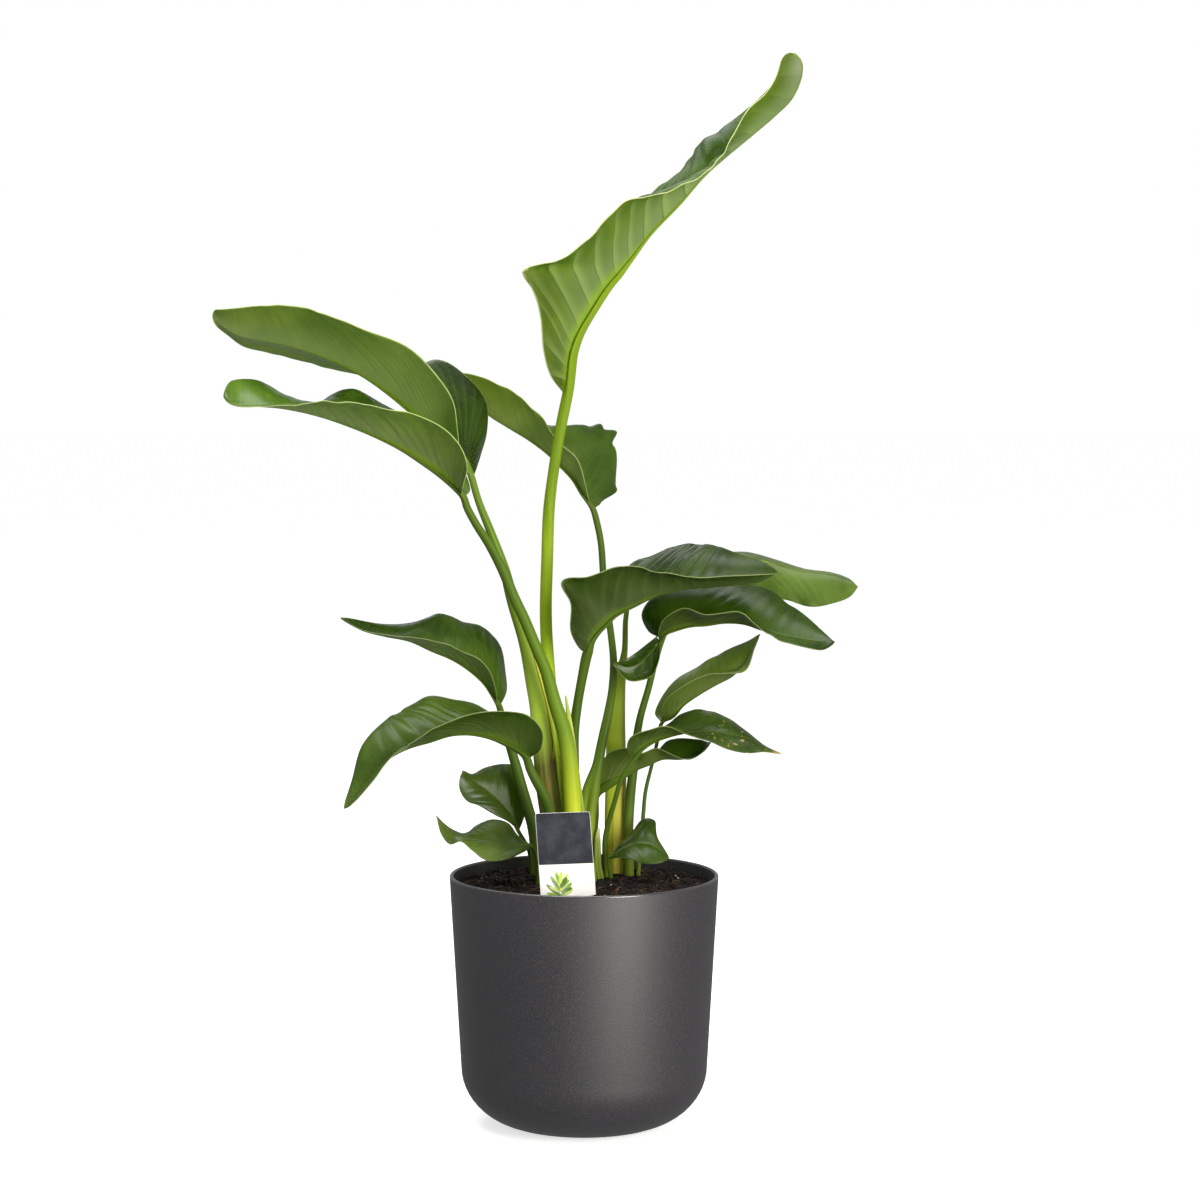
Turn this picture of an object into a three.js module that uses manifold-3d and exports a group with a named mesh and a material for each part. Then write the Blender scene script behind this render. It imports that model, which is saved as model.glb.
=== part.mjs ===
// Potted white bird of paradise: a round anthracite pot filled with soil, fifteen leaves that each
// stand in the soil on a stalk of their own, two bare sheaths and a plant label.
// Millimetres, +Z up. The origin is the centre of the pot's underside, and -Y is the front.
import * as THREE from "three";
import { mergeVertices } from "three/addons/utils/BufferGeometryUtils.js";
import Module from "manifold-3d";

const wasm = await Module();
wasm.setup();

const FUSE_TOLERANCE = 0.027; // slivers narrower than this that a join or cut leaves are closed up

// Pot
const POT_HEIGHT = 206;
const POT_RADIUS = 110;
const POT_LOW_RADIUS = 101; // where the straight wall meets the round corner
const POT_WALL = 3.2;
const CORNER_REACH = 62; // how far the round corner runs in under the pot
const CORNER_RISE = 46;
const CORNER_STEPS = 5;
const RIM_STEPS = 4;
const POT_SIDES = 40;

// Soil
const SOIL_LEVEL = 197;
const SOIL_EDGE_LEVEL = 195.5;
const SOIL_WAVES = [[1.1, 0.21, 0.17], [0.7, 0.33, -0.33]]; // height, and turns per mm along X and Y
const SOIL_RINGS = [95, 78, 54, 28, 0];
const ROOT_DEPTH = 26; // how far stalks reach below the soil's surface
const GAP = 0.35; // clearance between a piece and the hole that it stands in

// Plant label
const LABEL_WIDTH = 45;
const LABEL_LENGTH = 93;
const LABEL_THICKNESS = 1;
const LABEL_CENTRE = [-13.7, -65.6, 219.5];
const LABEL_LEAN = THREE.MathUtils.degToRad(17.5);
const LABEL_TURN = THREE.MathUtils.degToRad(14);

// Leaves
const BLADE_THICKNESS = 0.9;
const KEEL_DEPTH = 1.4; // how far the midrib stands out below a blade at its base
const STALK_SIDES = 7;
const STALK_STEPS_PER_POINT = 2;
const STALK_OVERLAP = [1.2, 0.6]; // rail points that the stalk runs on under its blade
const REACH_SKEW = 0.75; // below 1, a blade is widest nearer to its base than to its tip
const REACH_FULLNESS = 0.8; // below 1, its margins run out sooner to their full width

// The leaves' rails and stalks are given as they are seen from one eye in front of the plant:
// how far across and how high in the plane that faces the eye through the pot's axis, and how
// far behind that plane along the line of sight.
const EYE = new THREE.Vector3(13, -2500, 610);
const SIGHT_CENTRE = new THREE.Vector3(13, 0, 430.8);
const SIGHT = SIGHT_CENTRE.clone().sub(EYE);
const SIGHT_RIGHT = new THREE.Vector3(1, 0, 0);
const SIGHT_UP = SIGHT_RIGHT.clone().cross(SIGHT).normalize();

function seen(across, up, depth) {
  const inPlane = SIGHT_CENTRE.clone()
    .addScaledVector(SIGHT_RIGHT, across - SIGHT_CENTRE.x)
    .addScaledVector(SIGHT_UP, up - SIGHT_CENTRE.z);
  return inPlane.sub(EYE).multiplyScalar(1 + depth / SIGHT.length()).add(EYE);
}

// One leaf each. The midrib's depth runs from depth[0] at the base to depth[1] at the tip, and
// the near and far margins stand off it by up to reach[0] and reach[1]. Rails are [across, up]
// from base to tip, or [across, up, depth] where the leaf winds between its neighbours, with one
// point of each rail to a cross-section. A stalk's points are [across, up, depth, radius] from the
// blade down, and root is [x, y, radius] in the soil.
const LEAVES = [
  {
    name: "leaf_tall",
    depth: [48, -10],
    reach: [-48, 66],
    cells: [20, 6],
    bulge: 0.05,
    mid: [[-13, 600], [-8, 624], [-1, 646], [11, 667], [22, 684], [30, 694], [41, 709], [55, 728],
      [78, 752], [99, 776], [117, 792], [135, 807], [155, 824], [169, 837], [176, 857], [172, 875]],
    near: [[-15, 599], [-25, 614], [-31, 636], [-33, 660], [-41, 683], [-50, 698], [-23, 706],
      [3, 723], [29, 751], [72, 764], [104, 782], [118, 802], [133, 829], [146, 845], [159, 865],
      [168, 875]],
    far: [[-11, 601], [-10, 621], [-9, 642], [-3, 665], [7, 686], [13, 702], [23, 721], [37, 746],
      [58, 763], [81, 782], [94, 801], [114, 815], [129, 827], [145, 842], [158, 860], [167, 873]],
    stalk: [[-13, 602, 48, 4.3], [-21, 561, 54, 4.5], [-28, 512, 60, 4.7], [-30, 463, 65, 4.9],
      [-31, 415, 69, 5.1], [-28, 366, 72, 5.3], [-24, 317, 73, 5.6]],
    root: [-16, 58, 6],
  },
  {
    name: "leaf_upper_left",
    depth: [42, 19],
    reach: [-40, 50],
    cells: [18, 6],
    bulge: 0.06,
    mid: [[-92, 533], [-98, 545], [-107, 555], [-120, 566], [-137, 579], [-156, 595], [-178, 611],
      [-203, 624], [-229, 634], [-255, 640], [-280, 645], [-294, 656], [-301, 664]],
    near: [[-94, 533], [-101, 551], [-103, 569], [-107, 593], [-122, 616], [-143, 636],
      [-172, 648], [-200, 659], [-231, 669], [-262, 670], [-283, 667], [-294, 665], [-301, 665]],
    far: [[-89, 533], [-84, 549], [-80, 567], [-83, 589], [-96, 609], [-120, 623], [-154, 611],
      [-194, 616], [-229, 625], [-257, 632], [-277, 637], [-293, 652], [-301, 663]],
    stalk: [[-92, 533, 42, 3], [-86, 512, 43, 3.1], [-75, 484, 44, 3.8], [-64, 454, 46, 4.6],
      [-58, 431, 48, 5.3], [-47, 397, 50, 6.6], [-40, 364, 50, 7.8], [-36, 344, 50, 8.6],
      [-33, 317, 50, 9.6], [-29, 276, 50, 10]],
    root: [-20, 34, 9.5],
  },
  {
    name: "leaf_left",
    depth: [8, -12],
    reach: [-38, 52],
    cells: [18, 6],
    bulge: 0.06,
    mid: [[-99, 515], [-107, 522], [-119, 532], [-133, 542], [-150, 553], [-170, 563], [-192, 572],
      [-216, 580], [-243, 586], [-265, 588], [-282, 590], [-294, 597]],
    near: [[-100, 514], [-98, 525], [-95, 540], [-102, 558], [-120, 574], [-146, 583],
      [-176, 589], [-207, 592], [-237, 589], [-262, 589], [-280, 593], [-294, 598]],
    far: [[-96, 515], [-93, 522], [-99, 537], [-113, 551], [-133, 567], [-156, 585], [-189, 602],
      [-221, 591], [-246, 599], [-267, 609], [-283, 607], [-293, 600]],
    stalk: [[-98, 515, 8, 3.2], [-95, 506, 10, 3.3], [-88, 493, 13, 3.5], [-77, 476, 15, 3.9],
      [-66, 455, 17, 4.3], [-56, 431, 19, 4.6], [-48, 414, 21, 4.6], [-41, 397, 23, 4.7],
      [-31, 373, 25, 5], [-24, 348, 26, 5.6], [-16, 323, 26, 6.4], [-12, 301, 26, 6.8],
      [-10, 276, 27, 6.8], [-8, 244, 28, 7]],
    root: [-5, 12, 7],
  },
  {
    name: "leaf_centre",
    depth: [96, 95],
    reach: [-24, 34],
    cells: [14, 6],
    bulge: 0.06,
    mid: [[7, 506], [-1, 515], [-9, 528], [-18, 538], [-29, 549], [-44, 560], [-62, 571],
      [-79, 582], [-96, 600], [-106, 614]],
    near: [[5, 506], [1, 524], [-6, 546], [-18, 557], [-28, 569], [-41, 586], [-60, 601],
      [-81, 611], [-96, 615], [-106, 615]],
    far: [[8, 505], [18, 513], [28, 525], [24, 549], [25, 565], [7, 573], [-18, 570],
      [-48, 581], [-81, 598], [-105, 613]],
    stalk: [[7, 506, 96, 2.8], [11, 492, 94, 2.9], [14, 476, 92, 2.9], [16, 447, 88, 2.9],
      [19, 423, 86, 2.9], [22, 402, 82, 2.9], [24, 381, 76, 3.1], [23, 358, 66, 3.4],
      [20, 340, 58, 3.7], [15, 317, 52, 4], [11, 296, 48, 4.5], [6, 277, 46, 7.2],
      [3, 259, 46, 7.2], [2, 232, 46, 6.6]],
    root: [1, 30, 6.3],
  },
  {
    name: "leaf_right_top",
    depth: [40, 19],
    reach: [-40, 48],
    cells: [16, 6],
    bulge: 0.06,
    mid: [[3, 388], [8, 397], [13, 404], [19, 410], [26, 417], [41, 425], [60, 434], [81, 439],
      [104, 441], [127, 443], [145, 446], [158, 454]],
    near: [[2, 387], [-5, 393], [-11, 406], [-11, 428], [-18, 445], [3, 450], [31, 458],
      [58, 454], [88, 449], [115, 450], [139, 451], [157, 452]],
    far: [[5, 389], [13, 405], [18, 421], [24, 437], [37, 458], [55, 467], [74, 474], [94, 476],
      [112, 473], [129, 467], [145, 462], [158, 454]],
    stalk: [[3, 389, 40, 3.6], [1, 373, 44, 4.2], [-6, 348, 50, 4.1], [-8, 323, 54, 4.1],
      [-8, 293, 57, 4.3], [-7, 259, 60, 4.5], [-5, 232, 62, 4.6]],
    root: [-2, 48, 4.8],
  },
  {
    name: "leaf_far_right",
    depth: [118, 74],
    reach: [-12, 40],
    cells: [15, 6],
    bulge: 0.08,
    mid: [[46, 441], [59, 447], [78, 455], [102, 462], [127, 465], [151, 461], [174, 454],
      [197, 451], [212, 447], [223, 441]],
    near: [[45, 439], [55, 436], [75, 431], [104, 431], [135, 431], [162, 431], [185, 425],
      [203, 428], [216, 433], [223, 441]],
    far: [[46, 442], [62, 454], [86, 461], [112, 467], [135, 468], [158, 461], [181, 454],
      [202, 452], [215, 448], [222, 442]],
    stalk: [[46, 441, 118, 2.2], [37, 431, 112, 2.2], [34, 416, 106, 2.2], [33, 389, 98, 2.5],
      [29, 366, 90, 5.2], [27, 340, 84, 6.8], [26, 313, 80, 8.2], [26, 284, 78, 8.8],
      [25, 252, 74, 8.6]],
    root: [26, 57, 8.4],
  },
  {
    name: "leaf_right",
    depth: [50, 29],
    reach: [-30, 34],
    cells: [16, 6],
    bulge: 0.06,
    mid: [[63, 399], [67, 403], [75, 406], [86, 409], [99, 410], [114, 412], [130, 411],
      [145, 406], [161, 402], [177, 399], [192, 397], [204, 397]],
    near: [[61, 398], [61, 406], [65, 415], [81, 424], [98, 419], [114, 420], [130, 419],
      [146, 405], [162, 397], [180, 392], [194, 390], [204, 395]],
    far: [[61, 400], [52, 406], [47, 419], [55, 432], [78, 441], [104, 445], [129, 445],
      [150, 439], [167, 427], [181, 417], [192, 407], [203, 397]],
    stalk: [[63, 398, 50, 2.8], [57, 378, 54, 2.9], [52, 358, 57, 3], [46, 337, 60, 3.2],
      [43, 321, 62, 3.5], [41, 301, 64, 3.9], [38, 276, 65, 4.2], [36, 244, 64, 4.3]],
    root: [37, 46, 4.4],
    // The near half's basal lobe turns over and hangs in front of the stalk.
    lobe: {
      depth: [49, 36],
      reach: [-6, 4],
      cells: [8, 4],
      bulge: -0.12,
      mid: [[62, 397], [55, 389], [46, 380], [36, 376], [24, 379]],
      near: [[62, 394], [61, 382], [54, 368], [37, 365], [24, 377]],
      far: [[59, 401], [50, 394], [41, 387], [31, 381], [24, 380]],
    },
  },
  {
    name: "leaf_right_small",
    depth: [58, 43],
    reach: [-14, 26],
    cells: [15, 6],
    bulge: 0.06,
    mid: [[64, 332], [72, 335], [81, 345], [94, 354], [108, 362], [121, 369], [130, 379],
      [137, 391], [143, 403]],
    near: [[63, 332], [63, 341], [68, 351], [81, 361], [97, 369], [112, 371], [131, 373],
      [139, 392], [143, 402]],
    far: [[62, 332], [58, 339], [65, 354], [75, 366], [92, 376], [107, 385], [121, 392],
      [133, 397], [143, 403]],
    stalk: [[64, 332, 58, 1.7], [59, 313, 63, 1.6], [55, 296, 67, 1.6], [50, 275, 70, 1.7],
      [48, 254, 70, 1.8], [46, 232, 69, 1.8]],
    root: [45, 54, 2],
  },
  {
    name: "leaf_right_low",
    depth: [24, 10],
    reach: [-16, 28],
    cells: [16, 6],
    bulge: 0.06,
    mid: [[42, 303], [48, 309], [57, 315], [68, 319], [80, 322], [93, 324], [107, 323],
      [121, 321], [134, 318], [145, 312], [155, 307]],
    near: [[40, 301], [35, 310], [38, 319], [53, 325], [67, 328], [83, 321], [101, 316],
      [117, 309], [133, 306], [145, 306], [155, 306]],
    far: [[44, 304], [49, 314], [57, 323], [69, 330], [79, 338], [92, 341], [104, 340],
      [119, 333], [132, 324], [143, 315], [155, 308]],
    stalk: [[42, 303, 24, 2], [37, 296, 26, 2], [30, 284, 29, 2], [25, 267, 34, 2.1],
      [20, 250, 40, 2.2], [17, 234, 46, 2.3]],
    root: [18, 36, 2.4],
  },
  {
    name: "leaf_right_behind",
    depth: [58, 34],
    reach: [-14, 20],
    cells: [14, 6],
    bulge: 0.06,
    mid: [[11, 274], [20, 280], [29, 285], [41, 292], [52, 296], [64, 301], [78, 301],
      [90, 303], [98, 309], [103, 315]],
    near: [[11, 275, 58], [13, 294, 56], [20, 306, 52], [35, 310, 43], [46, 306, 36],
      [59, 310, 32], [73, 304, 29], [86, 301, 28], [97, 307, 30], [103, 314, 33]],
    far: [[12, 273, 59], [23, 281, 60], [34, 291, 61], [47, 301, 58], [59, 307, 57],
      [68, 316, 55], [81, 318, 52], [94, 317, 47], [101, 315, 40], [103, 315, 34]],
    stalk: [[11, 273, 58, 2.2], [10, 256, 60, 2.3], [9, 236, 60, 2.4]],
    root: [12, 44, 2.5],
  },
  {
    name: "leaf_left_mid",
    depth: [30, 3],
    reach: [-22, 40],
    cells: [16, 6],
    bulge: 0.07,
    mid: [[-70, 345], [-75, 353], [-81, 362], [-93, 373], [-107, 382], [-124, 389], [-142, 397],
      [-162, 401], [-181, 406], [-198, 416]],
    near: [[-71, 345], [-72, 358], [-77, 373], [-86, 383], [-102, 390], [-120, 397],
      [-140, 400], [-159, 402], [-180, 406], [-198, 415]],
    far: [[-68, 345], [-63, 358], [-64, 372], [-68, 393], [-79, 406], [-98, 413], [-117, 419],
      [-140, 412], [-164, 411], [-197, 417]],
    stalk: [[-69, 345, 32, 2.8], [-66, 332, 38, 3.2], [-61, 315, 43, 3.8], [-56, 299, 46, 4.4],
      [-51, 280, 48, 4.8], [-46, 263, 50, 4.9], [-41, 244, 51, 5]],
    root: [-39, 36, 5],
  },
  {
    name: "leaf_left_low",
    depth: [6, -24],
    reach: [-28, 30],
    cells: [16, 6],
    bulge: 0.07,
    mid: [[-46, 303], [-54, 307], [-65, 313], [-77, 318], [-93, 321], [-109, 320], [-125, 315],
      [-142, 310], [-159, 301], [-173, 286], [-185, 271], [-195, 261]],
    near: [[-43, 303], [-35, 310], [-34, 324], [-46, 337], [-71, 340], [-96, 336], [-119, 328],
      [-138, 315], [-158, 301], [-172, 283], [-185, 268], [-194, 260]],
    far: [[-49, 304], [-55, 314], [-64, 328], [-75, 338], [-89, 346], [-105, 349], [-124, 353],
      [-142, 344], [-162, 332], [-180, 313], [-189, 283], [-196, 262]],
    stalk: [[-47, 303, 6, 3.4], [-44, 294, 8, 3.8], [-39, 284, 10, 4.2], [-34, 275, 13, 4.4],
      [-29, 262, 17, 4.5], [-25, 244, 21, 4.6]],
    root: [-23, 10, 5],
  },
  {
    name: "leaf_low_left",
    depth: [58, 46],
    reach: [-10, 16],
    cells: [12, 6],
    bulge: 0.08,
    mid: [[-54, 244], [-57, 252], [-63, 260], [-70, 268], [-78, 275], [-87, 281], [-94, 286],
      [-99, 292]],
    near: [[-55, 245], [-63, 251], [-73, 256], [-85, 263], [-95, 267], [-101, 276], [-101, 286],
      [-99, 291]],
    far: [[-52, 245], [-48, 258], [-48, 275], [-54, 294], [-68, 297], [-81, 294], [-91, 289],
      [-98, 292]],
    stalk: [[-54, 245, 58, 1.6], [-50, 237, 58, 1.7], [-45, 228, 60, 1.8]],
    root: [-44, 46, 2],
  },
  {
    name: "leaf_bottom_left",
    depth: [10, -4],
    reach: [-14, 24],
    cells: [14, 6],
    bulge: 0.08,
    mid: [[-43, 231], [-52, 232], [-63, 233], [-76, 235], [-89, 236], [-99, 238], [-107, 240],
      [-115, 247], [-120, 255]],
    near: [[-43, 229], [-54, 223], [-66, 219], [-80, 219], [-91, 227], [-100, 234], [-109, 232],
      [-116, 240], [-120, 254]],
    far: [[-44, 232], [-54, 239], [-62, 249], [-75, 252], [-88, 247], [-97, 240], [-107, 244],
      [-114, 249], [-120, 255]],
    stalk: [[-43, 231, 10, 1.6], [-40, 226, 14, 1.7], [-38, 218, 18, 1.8]],
    root: [-38, 7, 2],
  },
  {
    name: "leaf_bottom_right",
    depth: [34, 16],
    reach: [-14, 24],
    cells: [12, 6],
    bulge: 0.08,
    mid: [[21, 222], [28, 227], [37, 232], [46, 233], [54, 232], [62, 227], [69, 221]],
    near: [[20, 220], [28, 221], [37, 220], [46, 217], [54, 216], [63, 217], [69, 220]],
    far: [[23, 223], [29, 231], [38, 240], [47, 252], [57, 251], [59, 239], [69, 222]],
    stalk: [[21, 222, 34, 1.6], [20, 216, 36, 1.8]],
    root: [22, 22, 2],
  },
];

// Sheaths with no blade: the remains of an old leaf and the pointed tip of a clasping sheath.
const SHEATHS = [
  {
    name: "sheath_stub",
    stalk: [[12, 245, 40, 0.8], [11, 237, 40, 2.6], [11, 223, 40, 3], [11, 215, 41, 3.2]],
    root: [13, 25, 3.2],
  },
  {
    name: "sheath_tip",
    stalk: [[-15, 353, 34, 0.5], [-13, 340, 34, 1.8], [-11, 325, 35, 2.6], [-9, 309, 37, 3],
      [-6, 284, 37, 3.2], [-1, 250, 36, 3.2]],
    root: [7, 16, 3.2],
  },
];

// Closed meshes and booleans

function closedGeometry(vertices, triangles) {
  const geometry = new THREE.BufferGeometry();
  geometry.setAttribute("position", new THREE.Float32BufferAttribute(vertices, 3));
  geometry.setIndex(triangles);
  return geometry;
}

function solidOf(geometry) {
  const bare = geometry.clone();
  bare.deleteAttribute("normal");
  bare.deleteAttribute("uv");
  const merged = mergeVertices(bare, 1e-4);
  return new wasm.Manifold(new wasm.Mesh({
    numProp: 3,
    vertProperties: merged.attributes.position.array,
    triVerts: new Uint32Array(merged.index.array),
    tolerance: FUSE_TOLERANCE,
  }));
}

// A solid's geometry with the corners of its slivers welded, and the triangles that vanish left out.
function geometryOf(solid) {
  const mesh = solid.getMesh();
  const welded = mergeVertices(closedGeometry(mesh.vertProperties, [...mesh.triVerts]), FUSE_TOLERANCE);
  const corners = welded.index.array;
  const kept = [];
  for (let i = 0; i < corners.length; i += 3) {
    const [a, b, c] = corners.slice(i, i + 3);
    if (a !== b && b !== c && c !== a) kept.push(a, b, c);
  }
  welded.setIndex(kept);
  welded.computeVertexNormals();
  return welded;
}

// Stalks

// A round stalk along a curve, whose radius runs through the given radii from end to end.
function stalkGeometry(points, radii) {
  const curve = new THREE.CatmullRomCurve3(points, false, "centripetal");
  const rings = (points.length - 1) * STALK_STEPS_PER_POINT;
  const vertices = [];
  for (let i = 0; i <= rings; i += 1) {
    const t = i / rings;
    const centre = curve.getPoint(t);
    const along = curve.getTangent(t);
    const side = SIGHT_RIGHT.clone().addScaledVector(along, -along.x).normalize();
    const back = along.clone().cross(side);
    const place = t * (radii.length - 1);
    const before = Math.min(Math.floor(place), radii.length - 2);
    const radius = THREE.MathUtils.lerp(radii[before], radii[before + 1], place - before);
    for (let k = 0; k < STALK_SIDES; k += 1) {
      const angle = (2 * Math.PI * k) / STALK_SIDES;
      vertices.push(...centre.clone()
        .addScaledVector(side, radius * Math.cos(angle))
        .addScaledVector(back, radius * Math.sin(angle)));
    }
  }
  vertices.push(...points[0], ...points[points.length - 1]);
  const firstEnd = (rings + 1) * STALK_SIDES;
  const triangles = [];
  for (let k = 0; k < STALK_SIDES; k += 1) {
    const next = (k + 1) % STALK_SIDES;
    for (let i = 0; i < rings; i += 1) {
      const low = i * STALK_SIDES;
      const high = low + STALK_SIDES;
      triangles.push(low + k, low + next, high + next, low + k, high + next, high + k);
    }
    const last = rings * STALK_SIDES;
    triangles.push(firstEnd, next, k, firstEnd + 1, last + k, last + next);
  }
  return closedGeometry(vertices, triangles);
}

// A stalk's own points and then its straight root, with extra added to each radius.
function stalkSolid(plant, into, extra) {
  const [x, y, rootRadius] = plant.root;
  const points = into.map((p) => p.clone());
  const radii = into.map(() => plant.stalk[0][3] + extra);
  plant.stalk.forEach(([across, up, depth, radius]) => {
    points.push(seen(across, up, depth));
    radii.push(radius + extra);
  });
  [SOIL_LEVEL + 2, SOIL_LEVEL - ROOT_DEPTH - extra].forEach((z) => {
    points.push(new THREE.Vector3(x, y, z));
    radii.push(rootRadius + extra);
  });
  return solidOf(stalkGeometry(points, radii));
}

// Blades

// The share of its full reach that a margin has at s, from 0 at the base to 1 at the tip.
function reachAt(s) {
  return Math.max(Math.sin(Math.PI * s ** REACH_SKEW), 0) ** REACH_FULLNESS;
}

function railCurve(rail, depthAt) {
  const last = rail.length - 1;
  const points = rail.map(([across, up, depth], i) => seen(across, up, depth ?? depthAt(i / last)));
  return new THREE.CatmullRomCurve3(points, false, "centripetal");
}

// A blade that leans right has its upper face on the side that its rows' normals point to.
function leansRight(blade) {
  return blade.mid[blade.mid.length - 1][0] > blade.mid[0][0];
}

// The blade's middle surface: rows from base to tip, each from the near margin to the far one.
function bladeRows(blade) {
  const [baseDepth, tipDepth] = blade.depth;
  const [nearReach, farReach] = blade.reach;
  const midDepth = (s) => THREE.MathUtils.lerp(baseDepth, tipDepth, s);
  const mid = railCurve(blade.mid, midDepth);
  const near = railCurve(blade.near, (s) => midDepth(s) + nearReach * reachAt(s));
  const far = railCurve(blade.far, (s) => midDepth(s) + farReach * reachAt(s));
  const [along, across] = blade.cells;
  const half = across / 2;
  const upward = leansRight(blade) ? 1 : -1;
  const rows = [];
  for (let i = 0; i <= along; i += 1) {
    const t = i / along;
    const rib = mid.getPoint(t);
    const margins = [near.getPoint(t), far.getPoint(t)];
    const up = mid.getTangent(t).cross(margins[1].clone().sub(margins[0])).normalize();
    const row = [];
    for (let j = 0; j <= across; j += 1) {
      const margin = margins[j < half ? 0 : 1];
      const out = Math.abs(j - half) / half;
      const arch = upward * 4 * out * (1 - out) * blade.bulge * margin.distanceTo(rib);
      row.push(rib.clone().lerp(margin, out).addScaledVector(up, arch));
    }
    rows.push(row);
  }
  return rows;
}

function rowNormals(rows) {
  const last = rows.length - 1;
  const end = rows[0].length - 1;
  return rows.map((row, i) => row.map((_, j) => {
    const along = rows[Math.min(i + 1, last)][j].clone().sub(rows[Math.max(i - 1, 0)][j]);
    const across = row[Math.min(j + 1, end)].clone().sub(row[Math.max(j - 1, 0)]);
    return along.cross(across).normalize();
  }));
}

// A thin sheet round the blade's middle surface, with a keel under its midrib.
function bladeGeometry(blade) {
  const rows = bladeRows(blade);
  const normals = rowNormals(rows);
  const width = rows[0].length;
  const count = rows.length * width;
  const middle = (width - 1) / 2;
  const under = leansRight(blade) ? -1 : 1;
  const sheet = [1, -1].flatMap((side) => rows.flatMap((row, i) => row.flatMap((point, j) => {
    const keel = side === under && j === middle ? KEEL_DEPTH * (1 - i / rows.length) : 0;
    return [...point.clone().addScaledVector(normals[i][j], side * (BLADE_THICKNESS / 2 + keel))];
  })));
  const triangles = [];
  for (let i = 0; i < rows.length - 1; i += 1) {
    for (let j = 0; j < width - 1; j += 1) {
      const a = i * width + j;
      const b = a + width;
      triangles.push(a, b, b + 1, a, b + 1, a + 1);
      triangles.push(count + a, count + b + 1, count + b, count + a, count + a + 1, count + b + 1);
    }
  }
  const lastRow = count - width;
  const rim = [
    ...rows.map((_, i) => i * width),
    ...rows[0].map((_, j) => lastRow + j).slice(1),
    ...rows.map((_, i) => lastRow - i * width + width - 1).slice(1),
    ...rows[0].map((_, j) => width - 1 - j).slice(1, -1),
  ];
  rim.forEach((p, i) => {
    const q = rim[(i + 1) % rim.length];
    triangles.push(q, p, count + p, q, count + p, count + q);
  });
  return closedGeometry(sheet, triangles);
}

// Where the stalk runs on under the blade, from inside it down to its base.
function stalkInto(blade) {
  const curve = railCurve(blade.mid, (s) => THREE.MathUtils.lerp(...blade.depth, s));
  return STALK_OVERLAP.map((stations) => curve.getPoint(stations / (blade.mid.length - 1)));
}

function leafSolid(leaf) {
  const stalk = stalkSolid(leaf, stalkInto(leaf), 0);
  const whole = stalk.add(solidOf(bladeGeometry(leaf)));
  return leaf.lobe ? whole.add(solidOf(bladeGeometry(leaf.lobe))) : whole;
}

// Pot

// The pot's half outline from the middle of its floor up to the rim, set in by a wall's thickness.
function potOutline(inset) {
  const centre = POT_LOW_RADIUS - CORNER_REACH;
  const outline = [new THREE.Vector2(0, inset)];
  for (let i = 0; i <= CORNER_STEPS; i += 1) {
    const angle = (Math.PI / 2) * (i / CORNER_STEPS);
    outline.push(new THREE.Vector2(
      centre + (CORNER_REACH - inset) * Math.sin(angle),
      CORNER_RISE - (CORNER_RISE - inset) * Math.cos(angle),
    ));
  }
  return outline;
}

function wallRadius(height) {
  const share = (height - CORNER_RISE) / (POT_HEIGHT - CORNER_RISE);
  return THREE.MathUtils.lerp(POT_LOW_RADIUS, POT_RADIUS, share);
}

function potGeometry() {
  const lip = POT_WALL / 2;
  const rim = Array.from({ length: RIM_STEPS + 1 }, (_, i) => {
    const angle = (Math.PI * i) / RIM_STEPS;
    return new THREE.Vector2(
      wallRadius(POT_HEIGHT) - lip + lip * Math.cos(angle),
      POT_HEIGHT - lip + lip * Math.sin(angle),
    );
  });
  const outline = [...potOutline(0), ...rim, ...potOutline(POT_WALL).reverse()];
  return new THREE.LatheGeometry(outline, POT_SIDES).rotateX(Math.PI / 2);
}

// Soil

// Low uneven ground, as a sum of waves.
function ground(x, y) {
  return SOIL_WAVES.reduce((sum, [height, u, v]) => sum + height * Math.sin(u * x + v * y), 0);
}

function soilGeometry() {
  const outline = potOutline(POT_WALL + GAP);
  const edge = wallRadius(SOIL_EDGE_LEVEL) - POT_WALL - GAP;
  outline.push(new THREE.Vector2(edge, SOIL_EDGE_LEVEL));
  SOIL_RINGS.forEach((radius) => outline.push(new THREE.Vector2(radius, SOIL_LEVEL)));
  const soil = new THREE.LatheGeometry(outline, POT_SIDES).rotateX(Math.PI / 2);
  const place = soil.attributes.position;
  for (let i = 0; i < place.count; i += 1) {
    const onTop = place.getZ(i) > SOIL_EDGE_LEVEL;
    const relief = onTop ? ground(place.getX(i), place.getY(i)) : 0;
    place.setZ(i, place.getZ(i) + relief);
  }
  return soil;
}

function labelMesh(extra, material) {
  const box = new THREE.BoxGeometry(
    LABEL_WIDTH + 2 * extra, LABEL_THICKNESS + 2 * extra, LABEL_LENGTH + 2 * extra);
  const mesh = new THREE.Mesh(box, material);
  mesh.position.set(...LABEL_CENTRE);
  mesh.rotation.set(-LABEL_LEAN, 0, LABEL_TURN, "ZYX");
  mesh.updateMatrix();
  return mesh;
}

function soilSolid() {
  const slot = labelMesh(GAP);
  let soil = solidOf(soilGeometry()).subtract(solidOf(slot.geometry.applyMatrix4(slot.matrix)));
  [...LEAVES, ...SHEATHS].forEach((plant) => {
    soil = soil.subtract(stalkSolid(plant, [], GAP));
  });
  return soil;
}

// Materials

function finish(color, roughness) {
  return new THREE.MeshStandardMaterial({ color, roughness, metalness: 0 });
}

const FINISHES = {
  pot: finish(0x38383b, 0.45),
  soil: finish(0x2b1a12, 0.95),
  label: finish(0x30343a, 0.4),
  leaf: finish(0x47701f, 0.4),
  sheath: finish(0x8fae35, 0.45),
};

// Assembly

const pottedPlant = new THREE.Group();

function addPiece(name, mesh) {
  mesh.name = name;
  pottedPlant.add(mesh);
}

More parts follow.
